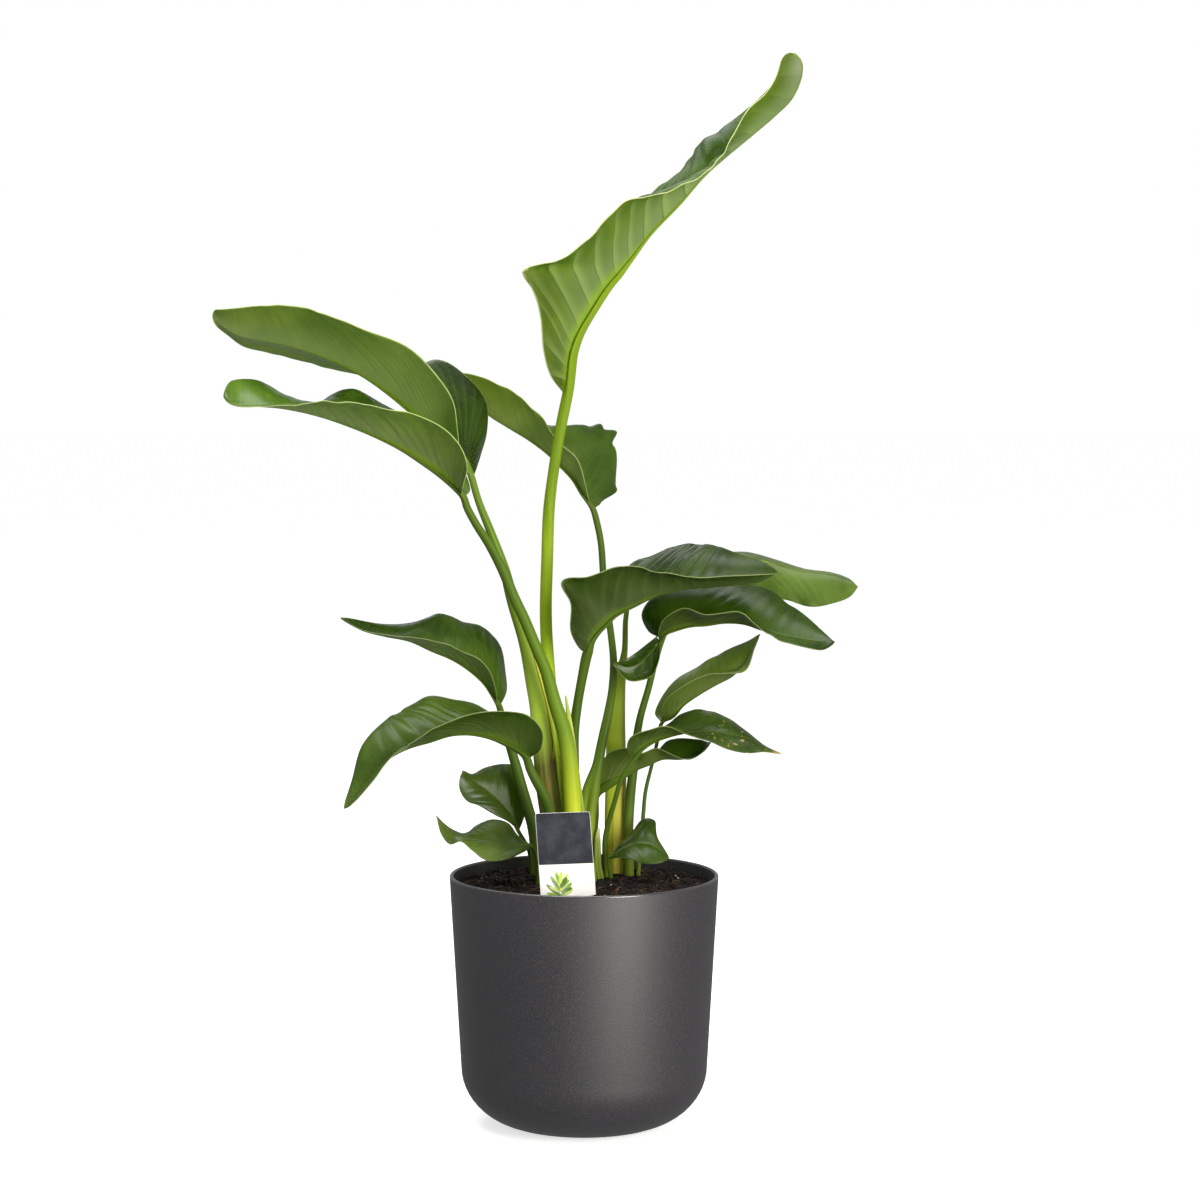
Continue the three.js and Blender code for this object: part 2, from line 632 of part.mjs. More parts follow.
addPiece("pot", new THREE.Mesh(potGeometry(), FINISHES.pot));
addPiece("soil", new THREE.Mesh(geometryOf(soilSolid()), FINISHES.soil));
addPiece("plant_label", labelMesh(0, FINISHES.label));
LEAVES.forEach((leaf) => {
  addPiece(leaf.name, new THREE.Mesh(geometryOf(leafSolid(leaf)), FINISHES.leaf));
});
SHEATHS.forEach((sheath) => {
  addPiece(sheath.name, new THREE.Mesh(geometryOf(stalkSolid(sheath, [], 0)), FINISHES.sheath));
});

export default pottedPlant;
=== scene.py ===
"""Potted white bird of paradise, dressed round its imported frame.

Fifteen leaves that each stand in the soil on a stalk of their own, two bare sheaths, the soil, a
round pot and a plant label stand for the frame's nodes of the same names. Metres, +Z up, with the
origin at the centre of the pot's underside and -Y at the front. The leaves' rails and stalks, and
the sizes of the pot, are in millimetres.
"""

import logging
import math
import random
from dataclasses import dataclass, replace
from enum import Enum
from typing import Callable

import bpy
import numpy as np
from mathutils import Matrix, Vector, noise

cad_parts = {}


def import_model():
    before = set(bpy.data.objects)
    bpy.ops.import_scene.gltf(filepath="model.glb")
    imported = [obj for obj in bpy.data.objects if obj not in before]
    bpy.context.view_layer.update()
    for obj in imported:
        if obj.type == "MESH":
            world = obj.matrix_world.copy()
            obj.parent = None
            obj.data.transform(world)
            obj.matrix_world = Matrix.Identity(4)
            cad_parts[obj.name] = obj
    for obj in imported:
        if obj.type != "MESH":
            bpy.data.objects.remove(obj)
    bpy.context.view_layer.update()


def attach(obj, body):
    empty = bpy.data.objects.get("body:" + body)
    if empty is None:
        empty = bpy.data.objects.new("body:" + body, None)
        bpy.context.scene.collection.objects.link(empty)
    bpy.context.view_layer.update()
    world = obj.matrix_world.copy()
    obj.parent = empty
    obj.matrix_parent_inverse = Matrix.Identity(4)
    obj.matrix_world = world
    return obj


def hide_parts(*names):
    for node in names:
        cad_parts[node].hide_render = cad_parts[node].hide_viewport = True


log = logging.getLogger("potted_plant")

Points = tuple[tuple[float, ...], ...]
Colour = tuple[float, float, float, float]
Stops = tuple[tuple[float, Colour], ...]
Piece = bpy.types.Object
Material = bpy.types.Material
Socket = bpy.types.NodeSocket

MM = 0.001

# The eye that the leaves' rails are given from, and the point in its plane that it faces, in mm
EYE = np.array((13.0, -2500.0, 610.0))
SIGHT_CENTRE = np.array((13.0, 0.0, 430.8))
SIGHT = SIGHT_CENTRE - EYE
SIGHT_LENGTH = float(np.linalg.norm(SIGHT))
SIGHT_RIGHT = np.array((1.0, 0.0, 0.0))
SIGHT_UP = np.cross(SIGHT_RIGHT, SIGHT) / SIGHT_LENGTH


# Colours, curves and meshes


def shade(red: int, green: int, blue: int) -> Colour:
    """The linear colour of a display colour.

    Args:
        red: The red level from 0 to 255.
        green: The green level.
        blue: The blue level.

    Returns:
        The colour with full opacity.
    """
    linear = (
        level / 12.92 if level <= 0.04045 else ((level + 0.055) / 1.055) ** 2.4
        for level in (red / 255, green / 255, blue / 255)
    )
    return (*linear, 1.0)


def smooth_step(low: float, high: float, value: np.ndarray) -> np.ndarray:
    """0 below low, 1 above high, and a smooth rise between them."""
    share = np.clip((value - low) / (high - low), 0, 1)
    return share * share * (3 - 2 * share)


def unit(vectors: np.ndarray) -> np.ndarray:
    """The vectors at length 1 along their last axis."""
    length = np.linalg.norm(vectors, axis=-1, keepdims=True)
    return vectors / np.maximum(length, 1e-9)


def seen(across: float, up: float, depth: float) -> np.ndarray:
    """The place in mm of what the eye sees across and up in its plane, at a depth behind the plane."""
    in_plane = SIGHT_CENTRE + SIGHT_RIGHT * (across - SIGHT_CENTRE[0]) + SIGHT_UP * (up - SIGHT_CENTRE[2])
    return EYE + (in_plane - EYE) * (1 + depth / SIGHT_LENGTH)


class Rail:
    """A smooth curve through points, with centripetal tangents."""

    fine_steps = 40

    def __init__(self, points: np.ndarray) -> None:
        """Keeps the points, with one more beyond each end.

        Args:
            points: One row of three numbers for each point.
        """
        before = 2 * points[0] - points[1]
        after = 2 * points[-1] - points[-2]
        self.points = np.vstack([before, points, after])
        self.spans = len(points) - 1

    def at(self, share: np.ndarray) -> np.ndarray:
        """The points at shares of the curve's spans.

        Args:
            share: Shares from 0 to 1, in an array of any shape.

        Returns:
            An array of that shape with one more axis of 3.
        """
        place = np.clip(share, 0, 1) * self.spans
        index = np.minimum(place.astype(int), self.spans - 1)
        weight = (place - index)[..., None]
        p0, p1, p2, p3 = (self.points[index + k] for k in range(4))
        d0, d1, d2 = (
            np.sqrt(np.linalg.norm(b - a, axis=-1, keepdims=True))
            for a, b in ((p0, p1), (p1, p2), (p2, p3))
        )
        leave = ((p1 - p0) / d0 - (p2 - p0) / (d0 + d1) + (p2 - p1) / d1) * d1
        arrive = ((p2 - p1) / d1 - (p3 - p1) / (d1 + d2) + (p3 - p2) / d2) * d1
        square = 3 * (p2 - p1) - 2 * leave - arrive
        cube = 2 * (p1 - p2) + leave + arrive
        return p1 + weight * (leave + weight * (square + weight * cube))

    def even(self, count: int) -> np.ndarray:
        """The shares of count + 1 points that stand evenly along the curve's length.

        Args:
            count: The number of steps between them.

        Returns:
            The shares.
        """
        fine = self.fine()
        steps = np.linalg.norm(np.diff(self.at(fine), axis=0), axis=1)
        run = np.concatenate([[0], np.cumsum(steps)])
        return np.interp(np.linspace(0, run[-1], count + 1), run, fine)

    def length(self) -> float:
        """The curve's length."""
        return float(np.linalg.norm(np.diff(self.at(self.fine()), axis=0), axis=1).sum())

    def fine(self) -> np.ndarray:
        """Shares that stand close enough to measure the curve by."""
        return np.linspace(0, 1, self.fine_steps * self.spans + 1)


def select_only(piece: Piece) -> None:
    """Makes a piece the active object and the only selected one.

    Args:
        piece: The piece.
    """
    bpy.ops.object.select_all(action="DESELECT")
    piece.select_set(True)
    bpy.context.view_layer.objects.active = piece


def edit(piece: Piece) -> None:
    """Starts edit mode on a piece with all of its mesh selected.

    Args:
        piece: The piece.
    """
    select_only(piece)
    bpy.ops.object.mode_set(mode="EDIT")
    bpy.ops.mesh.select_all(action="SELECT")


def leave_edit() -> None:
    """Goes back from edit mode to object mode."""
    bpy.ops.object.mode_set(mode="OBJECT")


class Part(Enum):
    """The parts of a mesh that are chosen for an edit."""

    EDGE = "EDGE"
    FACE = "FACE"


def edit_chosen(piece: Piece, kind: Part, chosen: Callable[[object], bool]) -> None:
    """Starts edit mode on a piece with only the chosen edges or faces selected.

    Args:
        piece: The piece.
        kind: Whether edges or faces are chosen.
        chosen: Tells whether an edge or a face is one of them.
    """
    edit(piece)
    bpy.ops.mesh.select_mode(type=kind.value)
    bpy.ops.mesh.select_all(action="DESELECT")
    leave_edit()
    for part in piece.data.edges if kind is Part.EDGE else piece.data.polygons:
        part.select = chosen(part)
    bpy.ops.object.mode_set(mode="EDIT")


def new_piece(name: str) -> Piece:
    """Names the primitive that was just added.

    Args:
        name: The piece's name.

    Returns:
        The piece.
    """
    piece = bpy.context.active_object
    piece.name = name
    piece.data.name = name
    return piece


def copy_of(piece: Piece, name: str) -> Piece:
    """A copy of a piece with a mesh of its own, as the active object.

    Args:
        piece: The piece.
        name: The copy's name.

    Returns:
        The copy.
    """
    twin = piece.copy()
    twin.data = piece.data.copy()
    bpy.context.scene.collection.objects.link(twin)
    select_only(twin)
    return new_piece(name)


def settle(piece: Piece) -> None:
    """Moves a piece's place into its mesh, so that its object sits at the origin."""
    select_only(piece)
    bpy.ops.object.transform_apply(location=True, rotation=True, scale=True)


def apply_modifier(piece: Piece, kind: str, **settings: object) -> None:
    """Adds a modifier to a piece with the given settings, and applies it.

    Args:
        piece: The piece.
        kind: The modifier's type.
        **settings: Its properties by name.
    """
    select_only(piece)
    bpy.ops.object.modifier_add(type=kind)
    modifier = piece.modifiers[-1]
    for key, value in settings.items():
        setattr(modifier, key, value)
    bpy.ops.object.modifier_apply(modifier=modifier.name)


def join(name: str, pieces: list[Piece]) -> Piece:
    """Joins pieces into the first one.

    Args:
        name: The joined piece's name.
        pieces: The pieces, which keep their materials.

    Returns:
        The joined piece.
    """
    select_only(pieces[0])
    for piece in pieces[1:]:
        piece.select_set(True)
    if len(pieces) > 1:
        bpy.ops.object.join()
    return new_piece(name)


def add_map(piece: Piece, name: str, values: np.ndarray) -> None:
    """Writes a row of three numbers for each vertex as a vector attribute that materials read."""
    attribute = piece.data.attributes.new(name, "FLOAT_VECTOR", "POINT")
    attribute.data.foreach_set("vector", values.astype(np.float32).ravel())


def sheet(name: str, places: np.ndarray) -> Piece:
    """A grid whose vertices stand at the given places.

    Args:
        name: The piece's name.
        places: Places in mm by row, column and axis. The faces look the way of columns x rows.

    Returns:
        The new piece.
    """
    rows, columns = places.shape[:2]
    bpy.ops.mesh.primitive_grid_add(x_subdivisions=columns - 1, y_subdivisions=rows - 1, size=1)
    piece = new_piece(name)
    piece.data.vertices.foreach_set("co", (places * MM).ravel())
    piece.data.update()
    return piece


def finish_piece(piece: Piece, node: str) -> Piece:
    """Makes a piece ride the body in its node's place, and reports it.

    Args:
        piece: The finished piece.
        node: The frame's node that it stands for.

    Returns:
        The piece.
    """
    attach(piece, "root")
    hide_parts(node)
    log.info("%s: %d faces, %d materials", piece.name, len(piece.data.polygons), len(piece.data.materials))
    return piece


# Materials


class Recipe:
    """One principled material, and the nodes that feed it."""

    def __init__(self, name: str, roughness: float, specular: float = 0.5) -> None:
        """Starts the material with constant roughness and specular level.

        Args:
            name: The material's name.
            roughness: The roughness, unless a pattern takes its place.
            specular: The specular level.
        """
        self.material = bpy.data.materials.new(name)
        self.material.use_nodes = True
        self.tree = self.material.node_tree
        self.shader = self.tree.nodes["Principled BSDF"]
        self.shader.inputs["Roughness"].default_value = roughness
        self.shader.inputs["Specular IOR Level"].default_value = specular

    def node(self, kind: str, **settings: object) -> bpy.types.Node:
        """Adds a node.

        Args:
            kind: The node's type.
            **settings: Its properties by name.

        Returns:
            The node.
        """
        made = self.tree.nodes.new(kind)
        for key, value in settings.items():
            setattr(made, key, value)
        return made

    def feed(self, socket: Socket, value: object) -> None:
        """Links a socket to another one, or sets it to a constant.

        Args:
            socket: The socket that takes the value.
            value: The other socket, or the constant.
        """
        if isinstance(value, Socket):
            self.tree.links.new(value, socket)
        else:
            socket.default_value = value

    def maths(self, operation: str, *values: object) -> Socket:
        """The result of a mathematical operation.

        Args:
            operation: The operation's name.
            *values: The sockets or numbers that it works on.

        Returns:
            The result's socket.
        """
        made = self.node("ShaderNodeMath", operation=operation)
        for socket, value in zip(made.inputs, values):
            self.feed(socket, value)
        return made.outputs[0]

    def rescale(self, value: object, low: float, high: float, start: float = 0, end: float = 1) -> Socket:
        """A value mapped smoothly from one range to another, and kept within it.

        Args:
            value: The socket or number.
            low: Where its own range begins.
            high: Where its own range ends.
            start: What it is at low.
            end: What it is at high.

        Returns:
            The new value's socket.
        """
        made = self.node("ShaderNodeMapRange", interpolation_type="SMOOTHSTEP")
        for socket, number in zip(made.inputs, (value, low, high, start, end)):
            self.feed(socket, number)
        return made.outputs[0]

    def attribute(self, name: str) -> list[Socket]:
        """The three numbers of a vector attribute.

        Args:
            name: The attribute's name.

        Returns:
            Their sockets.
        """
        source = self.node("ShaderNodeAttribute", attribute_name=name)
        parts = self.node("ShaderNodeSeparateXYZ")
        self.feed(parts.inputs[0], source.outputs["Vector"])
        return list(parts.outputs)

    def place(self) -> Socket:
        """The point's place in the object's axes."""
        return self.node("ShaderNodeTexCoord").outputs["Object"]

    def vector(self, *values: object) -> Socket:
        """A vector.

        Args:
            *values: Up to three sockets or numbers.

        Returns:
            The vector's socket.
        """
        made = self.node("ShaderNodeCombineXYZ")
        for socket, value in zip(made.inputs, values):
            self.feed(socket, value)
        return made.outputs[0]

    def noise(self, vector: Socket, scale: float, detail: float = 2, rough: float = 0.5) -> Socket:
        """Noise from about 0.2 to 0.8.

        Args:
            vector: The place that it is read at.
            scale: How many lumps there are to a unit.
            detail: How many finer layers it has.
            rough: How strong the finer layers are.

        Returns:
            The noise's socket.
        """
        made = self.node("ShaderNodeTexNoise")
        for key, value in (("Vector", vector), ("Scale", scale), ("Detail", detail), ("Roughness", rough)):
            self.feed(made.inputs[key], value)
        return made.outputs["Fac"]

    def ramp(self, value: Socket, stops: Stops) -> Socket:
        """The colour that a ramp has at a value.

        Args:
            value: The value from 0 to 1.
            stops: The ramp's places and colours.

        Returns:
            The colour's socket.
        """
        made = self.node("ShaderNodeValToRGB")
        points = made.color_ramp.elements
        while len(points) < len(stops):
            points.new(0.5)
        for point, (position, colour) in zip(points, stops):
            point.position = position
            point.color = colour
        self.feed(made.inputs[0], value)
        return made.outputs[0]

    def blend(self, share: object, first: object, second: object) -> Socket:
        """A colour between two others.

        Args:
            share: How much of the second colour there is.
            first: The first colour's socket or value.
            second: The second colour's socket or value.

        Returns:
            The colour's socket.
        """
        made = self.node("ShaderNodeMix", data_type="RGBA")
        for index, value in ((0, share), (6, first), (7, second)):
            self.feed(made.inputs[index], value)
        return made.outputs[2]

    def bump(self, height: Socket, strength: float, depth_mm: float) -> None:
        """Adds fine relief on top of any that is there.

        Args:
            height: The relief's height from 0 to 1.
            strength: How strongly it shows.
            depth_mm: What a height of 1 stands for, in mm.
        """
        made = self.node("ShaderNodeBump")
        earlier = self.shader.inputs["Normal"].links
        if earlier:
            self.feed(made.inputs["Normal"], earlier[0].from_socket)
        self.feed(made.inputs["Strength"], strength)
        self.feed(made.inputs["Distance"], depth_mm * MM)
        self.feed(made.inputs["Height"], height)
        self.feed(self.shader.inputs["Normal"], made.outputs[0])

    def glow(self, share: float, reach: float, radii: tuple[float, float, float]) -> None:
        """Lets light through a thin sheet.

        Args:
            share: The share of the light that enters it.
            reach: How far the light spreads, in metres.
            radii: The spread of red, green and blue as shares of the reach.
        """
        self.shader.inputs["Subsurface Weight"].default_value = share
        self.shader.inputs["Subsurface Scale"].default_value = reach
        self.shader.inputs["Subsurface Radius"].default_value = radii

    def colour(self, socket: Socket) -> None:
        """Feeds the material's base colour."""
        self.feed(self.shader.inputs["Base Color"], socket)

    def roughness(self, socket: Socket) -> None:
        """Feeds the material's roughness."""
        self.feed(self.shader.inputs["Roughness"], socket)


UNDER_GLOSS = 0.25
GLOW_SHARE = 0.35
GLOW_REACH = 0.004
GLOW_RADII = (0.7, 1.0, 0.25)
UPPER_ROUGHNESS = (0.22, 0.36)
UNDER_ROUGHNESS = (0.42, 0.54)
STREAK_SHARE = 0.5


class Face(Enum):
    """The two faces of a blade."""

    UPPER = "upper"
    UNDER = "under"


@dataclass(frozen=True)
class LeafFinish:
    """The colours of a blade, and the rim that runs round it."""

    name: str
    upper_dark: Colour = shade(48, 76, 12)
    upper_light: Colour = shade(84, 114, 28)
    # The vein tones also serve as painted light: the light band beside each crease and the lighter foot of
    # the underside. The pleat shares set how strongly that painted light and the painted shade in the creases
    # show.
    upper_vein_and_lit: Colour = shade(96, 126, 40)
    upper_pleat_shading: float = 0.16
    gloss: float = 0.4
    under_dark: Colour = shade(78, 98, 20)
    under_light: Colour = shade(106, 126, 36)
    under_vein_and_lit: Colour = shade(146, 164, 96)
    under_pleat_shading: float = 0.3
    # The next colour is a painted grey sheen beside the midrib, a painted reflection, and its share sets how
    # strong it is.
    painted_sheen: Colour = shade(134, 148, 110)
    painted_sheen_share: float = 0.4
    # The base share and reach paint the foot of the underside lighter, as painted light from below.
    painted_bounce_share: float = 0.0
    painted_bounce_reach: float = 0.45
    rib: Colour = shade(124, 150, 34)
    rim: Colour = shade(172, 188, 112)
    rim_share: float = 0.5
    dry: Colour = shade(126, 96, 50)
    dry_tip: float = 0.0
    spots: float = 0.0

    def material(self, face: Face) -> Material:
        """The material of one face."""
        return BladePattern(self, face).paint()

    def rim_material(self) -> Material:
        """The material of the blade's thin edge.

        Returns:
            The material.
        """
        recipe = Recipe(f"leaf_rim_{self.name}", 0.45)
        patches = recipe.noise(recipe.place(), 180, 2)
        recipe.colour(recipe.blend(recipe.rescale(patches, 0.35, 0.8, 0, 0.6), self.rim, self.under_vein_and_lit))
        return recipe.material


class BladePattern(Recipe):
    """The material of one face of a blade, whose pattern follows its veins."""

    def __init__(self, finish: LeafFinish, face: Face) -> None:
        """Starts the material.

        Args:
            finish: The blade's colours.
            face: The face that the pattern covers.
        """
        self.finish = finish
        self.upper = face is Face.UPPER
        gloss = finish.gloss if self.upper else UNDER_GLOSS
        super().__init__(f"leaf_{face.value}_{finish.name}", 0.34, gloss)
        self.vein, self.along, self.out = self.attribute("leaf_map")
        self.patches = self.noise(self.place(), 24, 3)
        self.dark = finish.upper_dark if self.upper else finish.under_dark
        self.light = finish.upper_light if self.upper else finish.under_light
        # The vein tone is the painted light of the pleats' bands and of the underside's foot.
        self.bright = finish.upper_vein_and_lit if self.upper else finish.under_vein_and_lit

    def paint(self) -> Material:
        """Feeds the pattern to the shader.

        Returns:
            The finished material.
        """
        streaks = self.streaks()
        colour = self.blend(self.rescale(self.patches, 0.3, 0.7), self.dark, self.light)
        colour = self.blend(self.rescale(streaks, 0.4, 0.75, 0, STREAK_SHARE), colour, self.dark)
        # Painted sheen beside the midrib and painted light at the foot of the underside.
        if not self.upper:
            colour = self.with_painted_sheen(colour)
        # Painted light and painted shade across each pleat.
        colour = self.with_painted_pleat_shading(colour)
        colour = self.blend(self.rib_share(), colour, self.finish.rib)
        rim = self.rescale(self.out, 0.98, 0.995, 0, self.finish.rim_share)
        colour = self.blend(rim, colour, self.finish.rim)
        self.colour(self.withered(colour))
        low, high = UPPER_ROUGHNESS if self.upper else UNDER_ROUGHNESS
        self.roughness(self.rescale(self.patches, 0.2, 0.8, low, high))
        self.bump(streaks, 0.2, 0.12)
        self.glow(GLOW_SHARE, GLOW_REACH, GLOW_RADII)
        return self.material

    def streaks(self) -> Socket:
        """The fine parallel veins between the pleats' creases.

        Returns:
            Noise drawn out along the veins.
        """
        across = self.maths("MULTIPLY", self.vein, 5)
        outward = self.maths("MULTIPLY", self.out, 1.2)
        return self.noise(self.vector(across, outward, 0), 1, 4, 0.6)

    def with_painted_sheen(self, colour: Socket) -> Socket:
        """A colour with a painted grey sheen beside the midrib, which is a painted reflection, and the foot
        of the blade painted lighter as painted light from below.

        Args:
            colour: The underside's colour.

        Returns:
            The colour.
        """
        # Painted sheen: a grey painted reflection beside the midrib, fainter toward the base.
        near_rib = self.rescale(self.out, 0.0, 0.75, self.finish.painted_sheen_share, 0)
        tipward = self.rescale(self.along, 0.0, 0.15, 0.35, 1)
        painted_sheen = self.maths("MULTIPLY", near_rib, tipward)
        # Painted light from below: the foot of the underside turns toward the lighter vein tone.
        near_base = self.rescale(self.along, 0.0, self.finish.painted_bounce_reach, self.finish.painted_bounce_share, 0)
        return self.blend(near_base, self.blend(painted_sheen, colour, self.finish.painted_sheen), self.bright)

    def with_painted_pleat_shading(self, colour: Socket) -> Socket:
        """A colour with painted shade as a dark line in each crease and painted light as a light band beside
        it.

        Args:
            colour: The colour between the creases.

        Returns:
            The colour.
        """
        share = self.finish.upper_pleat_shading if self.upper else self.finish.under_pleat_shading
        pleat = self.maths("FRACT", self.vein)
        margin_fade = self.rescale(self.out, 0.6, 0.98, 1, 0.3)
        tip_fade = self.rescale(self.along, 0.55, 0.8, 1, 0.15)
        faint = self.maths("MULTIPLY", margin_fade, tip_fade)
        # Painted light: a lighter band beside each crease.
        painted_light_band = self.maths("MULTIPLY", self.rescale(pleat, 0.04, 0.6, share, 0), faint)
        colour = self.blend(painted_light_band, colour, self.bright)
        crease = self.maths("MINIMUM", pleat, self.maths("SUBTRACT", 1, pleat))
        # Painted shade: a dark line in each crease.
        line = self.maths("MULTIPLY", self.rescale(crease, 0.0, 0.06, share, 0), faint)
        return self.blend(line, colour, self.finish.upper_dark)

    def rib_share(self) -> Socket:
        """How much of the midrib's colour the blade takes, most of it at the base.

        Returns:
            The share.
        """
        left = self.maths("POWER", self.maths("SUBTRACT", 1, self.along), 4)
        width = self.maths("MULTIPLY_ADD", left, 0.1 if self.upper else 0.7, 0.025)
        return self.rescale(self.maths("DIVIDE", self.out, width), 0.2, 1, 0.85, 0)

    def withered(self, colour: Socket) -> Socket:
        """A colour with the dry tip and the small spots of an old leaf.

        Args:
            colour: The colour of the fresh blade.

        Returns:
            The colour.
        """
        finish = self.finish
        if finish.dry_tip:
            edge = self.maths("ADD", self.along, self.maths("MULTIPLY", self.patches, 0.12))
            start = 1.05 - finish.dry_tip
            colour = self.blend(self.rescale(edge, start, start + 0.05, 0, 0.85), colour, finish.dry)
        if finish.spots:
            dots = self.rescale(self.noise(self.place(), 260, 1), 0.66, 0.7, 0, finish.spots)
            outer = self.rescale(self.along, 0.5, 0.65)
            colour = self.blend(self.maths("MULTIPLY", dots, outer), colour, finish.dry)
        return colour


@dataclass(frozen=True)
class StalkFinish:
    """The colours of a stalk from the soil up to its blade and on along the midrib.

    The low, middle, high and rib colours stand at the heights in levels, where 1 is the blade's
    base. A sheath's free margin runs up the stalk through (height, turn) points, where a turn of
    1 is half a turn from the channel, counter-clockwise as seen from above.
    """

    name: str
    low: Colour = shade(70, 104, 34)
    middle: Colour = shade(66, 104, 32)
    high: Colour = shade(80, 122, 30)
    rib: Colour = shade(122, 160, 40)
    levels: tuple[float, float, float, float] = (0.0, 0.4, 0.84, 1.2)
    margin: Points = ()
    edge: Colour = shade(118, 62, 34)
    inner_low: Colour = shade(70, 104, 34)
    inner_high: Colour = shade(84, 122, 36)
    inner_from: float = 0.35
    blush: Colour = shade(138, 84, 40)
    blush_share: float = 0.15

    def material(self) -> Material:
        """The material, whose streaks run along the stalk.

        Returns:
            The material.
        """
        recipe = Recipe(f"stalk_{self.name}", 0.38, 0.2)
        angle, height, _ = recipe.attribute("stalk_map")
        shades = (self.low, self.middle, self.high, self.rib)
        stops = tuple((level / 2, tone) for level, tone in zip(self.levels, shades))
        colour = recipe.ramp(recipe.maths("MULTIPLY", height, 0.5), stops)
        lines = recipe.vector(recipe.maths("MULTIPLY", angle, 11), recipe.maths("MULTIPLY", height, 4), 0)
        streaks = recipe.noise(lines, 1, 4)
        if self.margin:
            colour = self.wrapped(recipe, colour, angle, height)
        colour = recipe.blend(recipe.rescale(streaks, 0.4, 0.8, 0, 0.3), colour, self.middle)
        patches = recipe.noise(recipe.place(), 60, 4, 0.6)
        spots = recipe.rescale(patches, 0.5, 0.66, 0, self.blush_share)
        foot = recipe.rescale(height, 0.1, 0.6, 1, 0)
        colour = recipe.blend(recipe.maths("MULTIPLY", spots, foot), colour, self.blush)
        recipe.colour(colour)
        recipe.roughness(recipe.rescale(streaks, 0.2, 0.8, 0.42, 0.58))
        recipe.bump(streaks, 0.4, 0.2)
        return recipe.material

    def wrapped(self, recipe: Recipe, colour: Socket, angle: Socket, height: Socket) -> Socket:
        """A colour with the sheath's free margin on it, and other tones inside the margin.

        Args:
            recipe: The material.
            colour: The colour outside the margin.
            angle: The turn from the channel.
            height: The height up the stalk.

        Returns:
            The colour.
        """
        greys = []
        for at, turn in self.margin:
            level = 0.5 + turn / 2
            greys.append((at, (level, level, level, 1.0)))
        line = recipe.maths("MULTIPLY_ADD", recipe.ramp(height, tuple(greys)), 2, -1)
        past = recipe.maths("SUBTRACT", angle, line)
        around = recipe.maths("SUBTRACT", 1, recipe.rescale(past, 0.55, 0.7))
        inside = recipe.maths("MULTIPLY", recipe.rescale(past, 0.0, 0.03), around)
        start = self.inner_from
        inner = recipe.ramp(height, ((start - 0.02, self.inner_low), (start + 0.02, self.inner_high)))
        colour = recipe.blend(inside, colour, inner)
        off_line = recipe.maths("ABSOLUTE", past)
        return recipe.blend(recipe.rescale(off_line, 0.005, 0.04, 0.85, 0), colour, self.edge)


# Leaves

# How finely a blade is divided, and its thickness in mm
ROWS_A_PLEAT = 8
COLUMNS_A_HALF = 20
FEWEST_PLEATS = 6
EVEN_STEPS = 400
VEIN_HALVINGS = 18
BLADE_THICKNESS = 0.7

# The rise and fall of the margins' depth and of the veins' sweep, in shares of the blade's length
REACH_SKEW = 0.75
REACH_FULLNESS = 0.8
SWEEP_START = 0.1
SWEEP_FADE = (0.1, 0.85)

# Pleats and waves: wave lengths and the full width in mm, the rest in shares of length or width
LONG_WAVE = 38.0
SHORT_WAVE = 22.0
SHORT_WAVE_SHARE = 0.6
SCALLOP_WAVE = 15.0
SCALLOP_FADE = (0.25, 0.45)
PLEAT_SKEW = 0.7
PLEAT_ROUNDNESS = 1.3
FULL_WIDTH = 25.0
FOLD_END = 0.3
RELIEF_START = 0.14
RELIEF_FADE = (0.6, 0.85)
RELIEF_OUTWARD = (0.04, 0.32)
MARGIN_FLATTENING = 0.8

# The midrib: drop and end radius in mm, angles in radians, the rest in shares
RIB_START = 0.05
RIB_LIFT_END = 0.1
RIB_LINE_START = 0.08
RIB_DROP = 1.2
RIB_END_RADIUS = 0.3
RIB_TAPER = 1.9
RIB_WIDENING = 0.5
RIB_FLATTENING = 0.6
FLARE_ANGLE = 1.9
FLARE_WIDTH = 0.35
FLARE_REACH = 0.8
HEADING_STEP = 0.004

# The stalk: lengths in mm, angles in radians, turns and ends in shares of the stalk's height
STALK_SIDES = 24
STALK_STEP = 3.5
TANGENT_STEP = 0.002
SEAM_GAP = 0.004
CLASP_START = 0.7
CHANNEL_TURN = (0.5, 1)
CHANNEL_END = (0.9, 1.05)
CHANNEL_WIDTH = 0.62
OPEN_DEPTH = 0.5
CLASPING_DEPTH = 0.9
LIP_ANGLE = 0.91
LIP_WIDTH = 0.2
LIP_HEIGHT = 0.1
RIB_TURN = (0.95, 1.1)
SOIL_LEVEL = 197.0
ROOT_DEPTH = 26.0


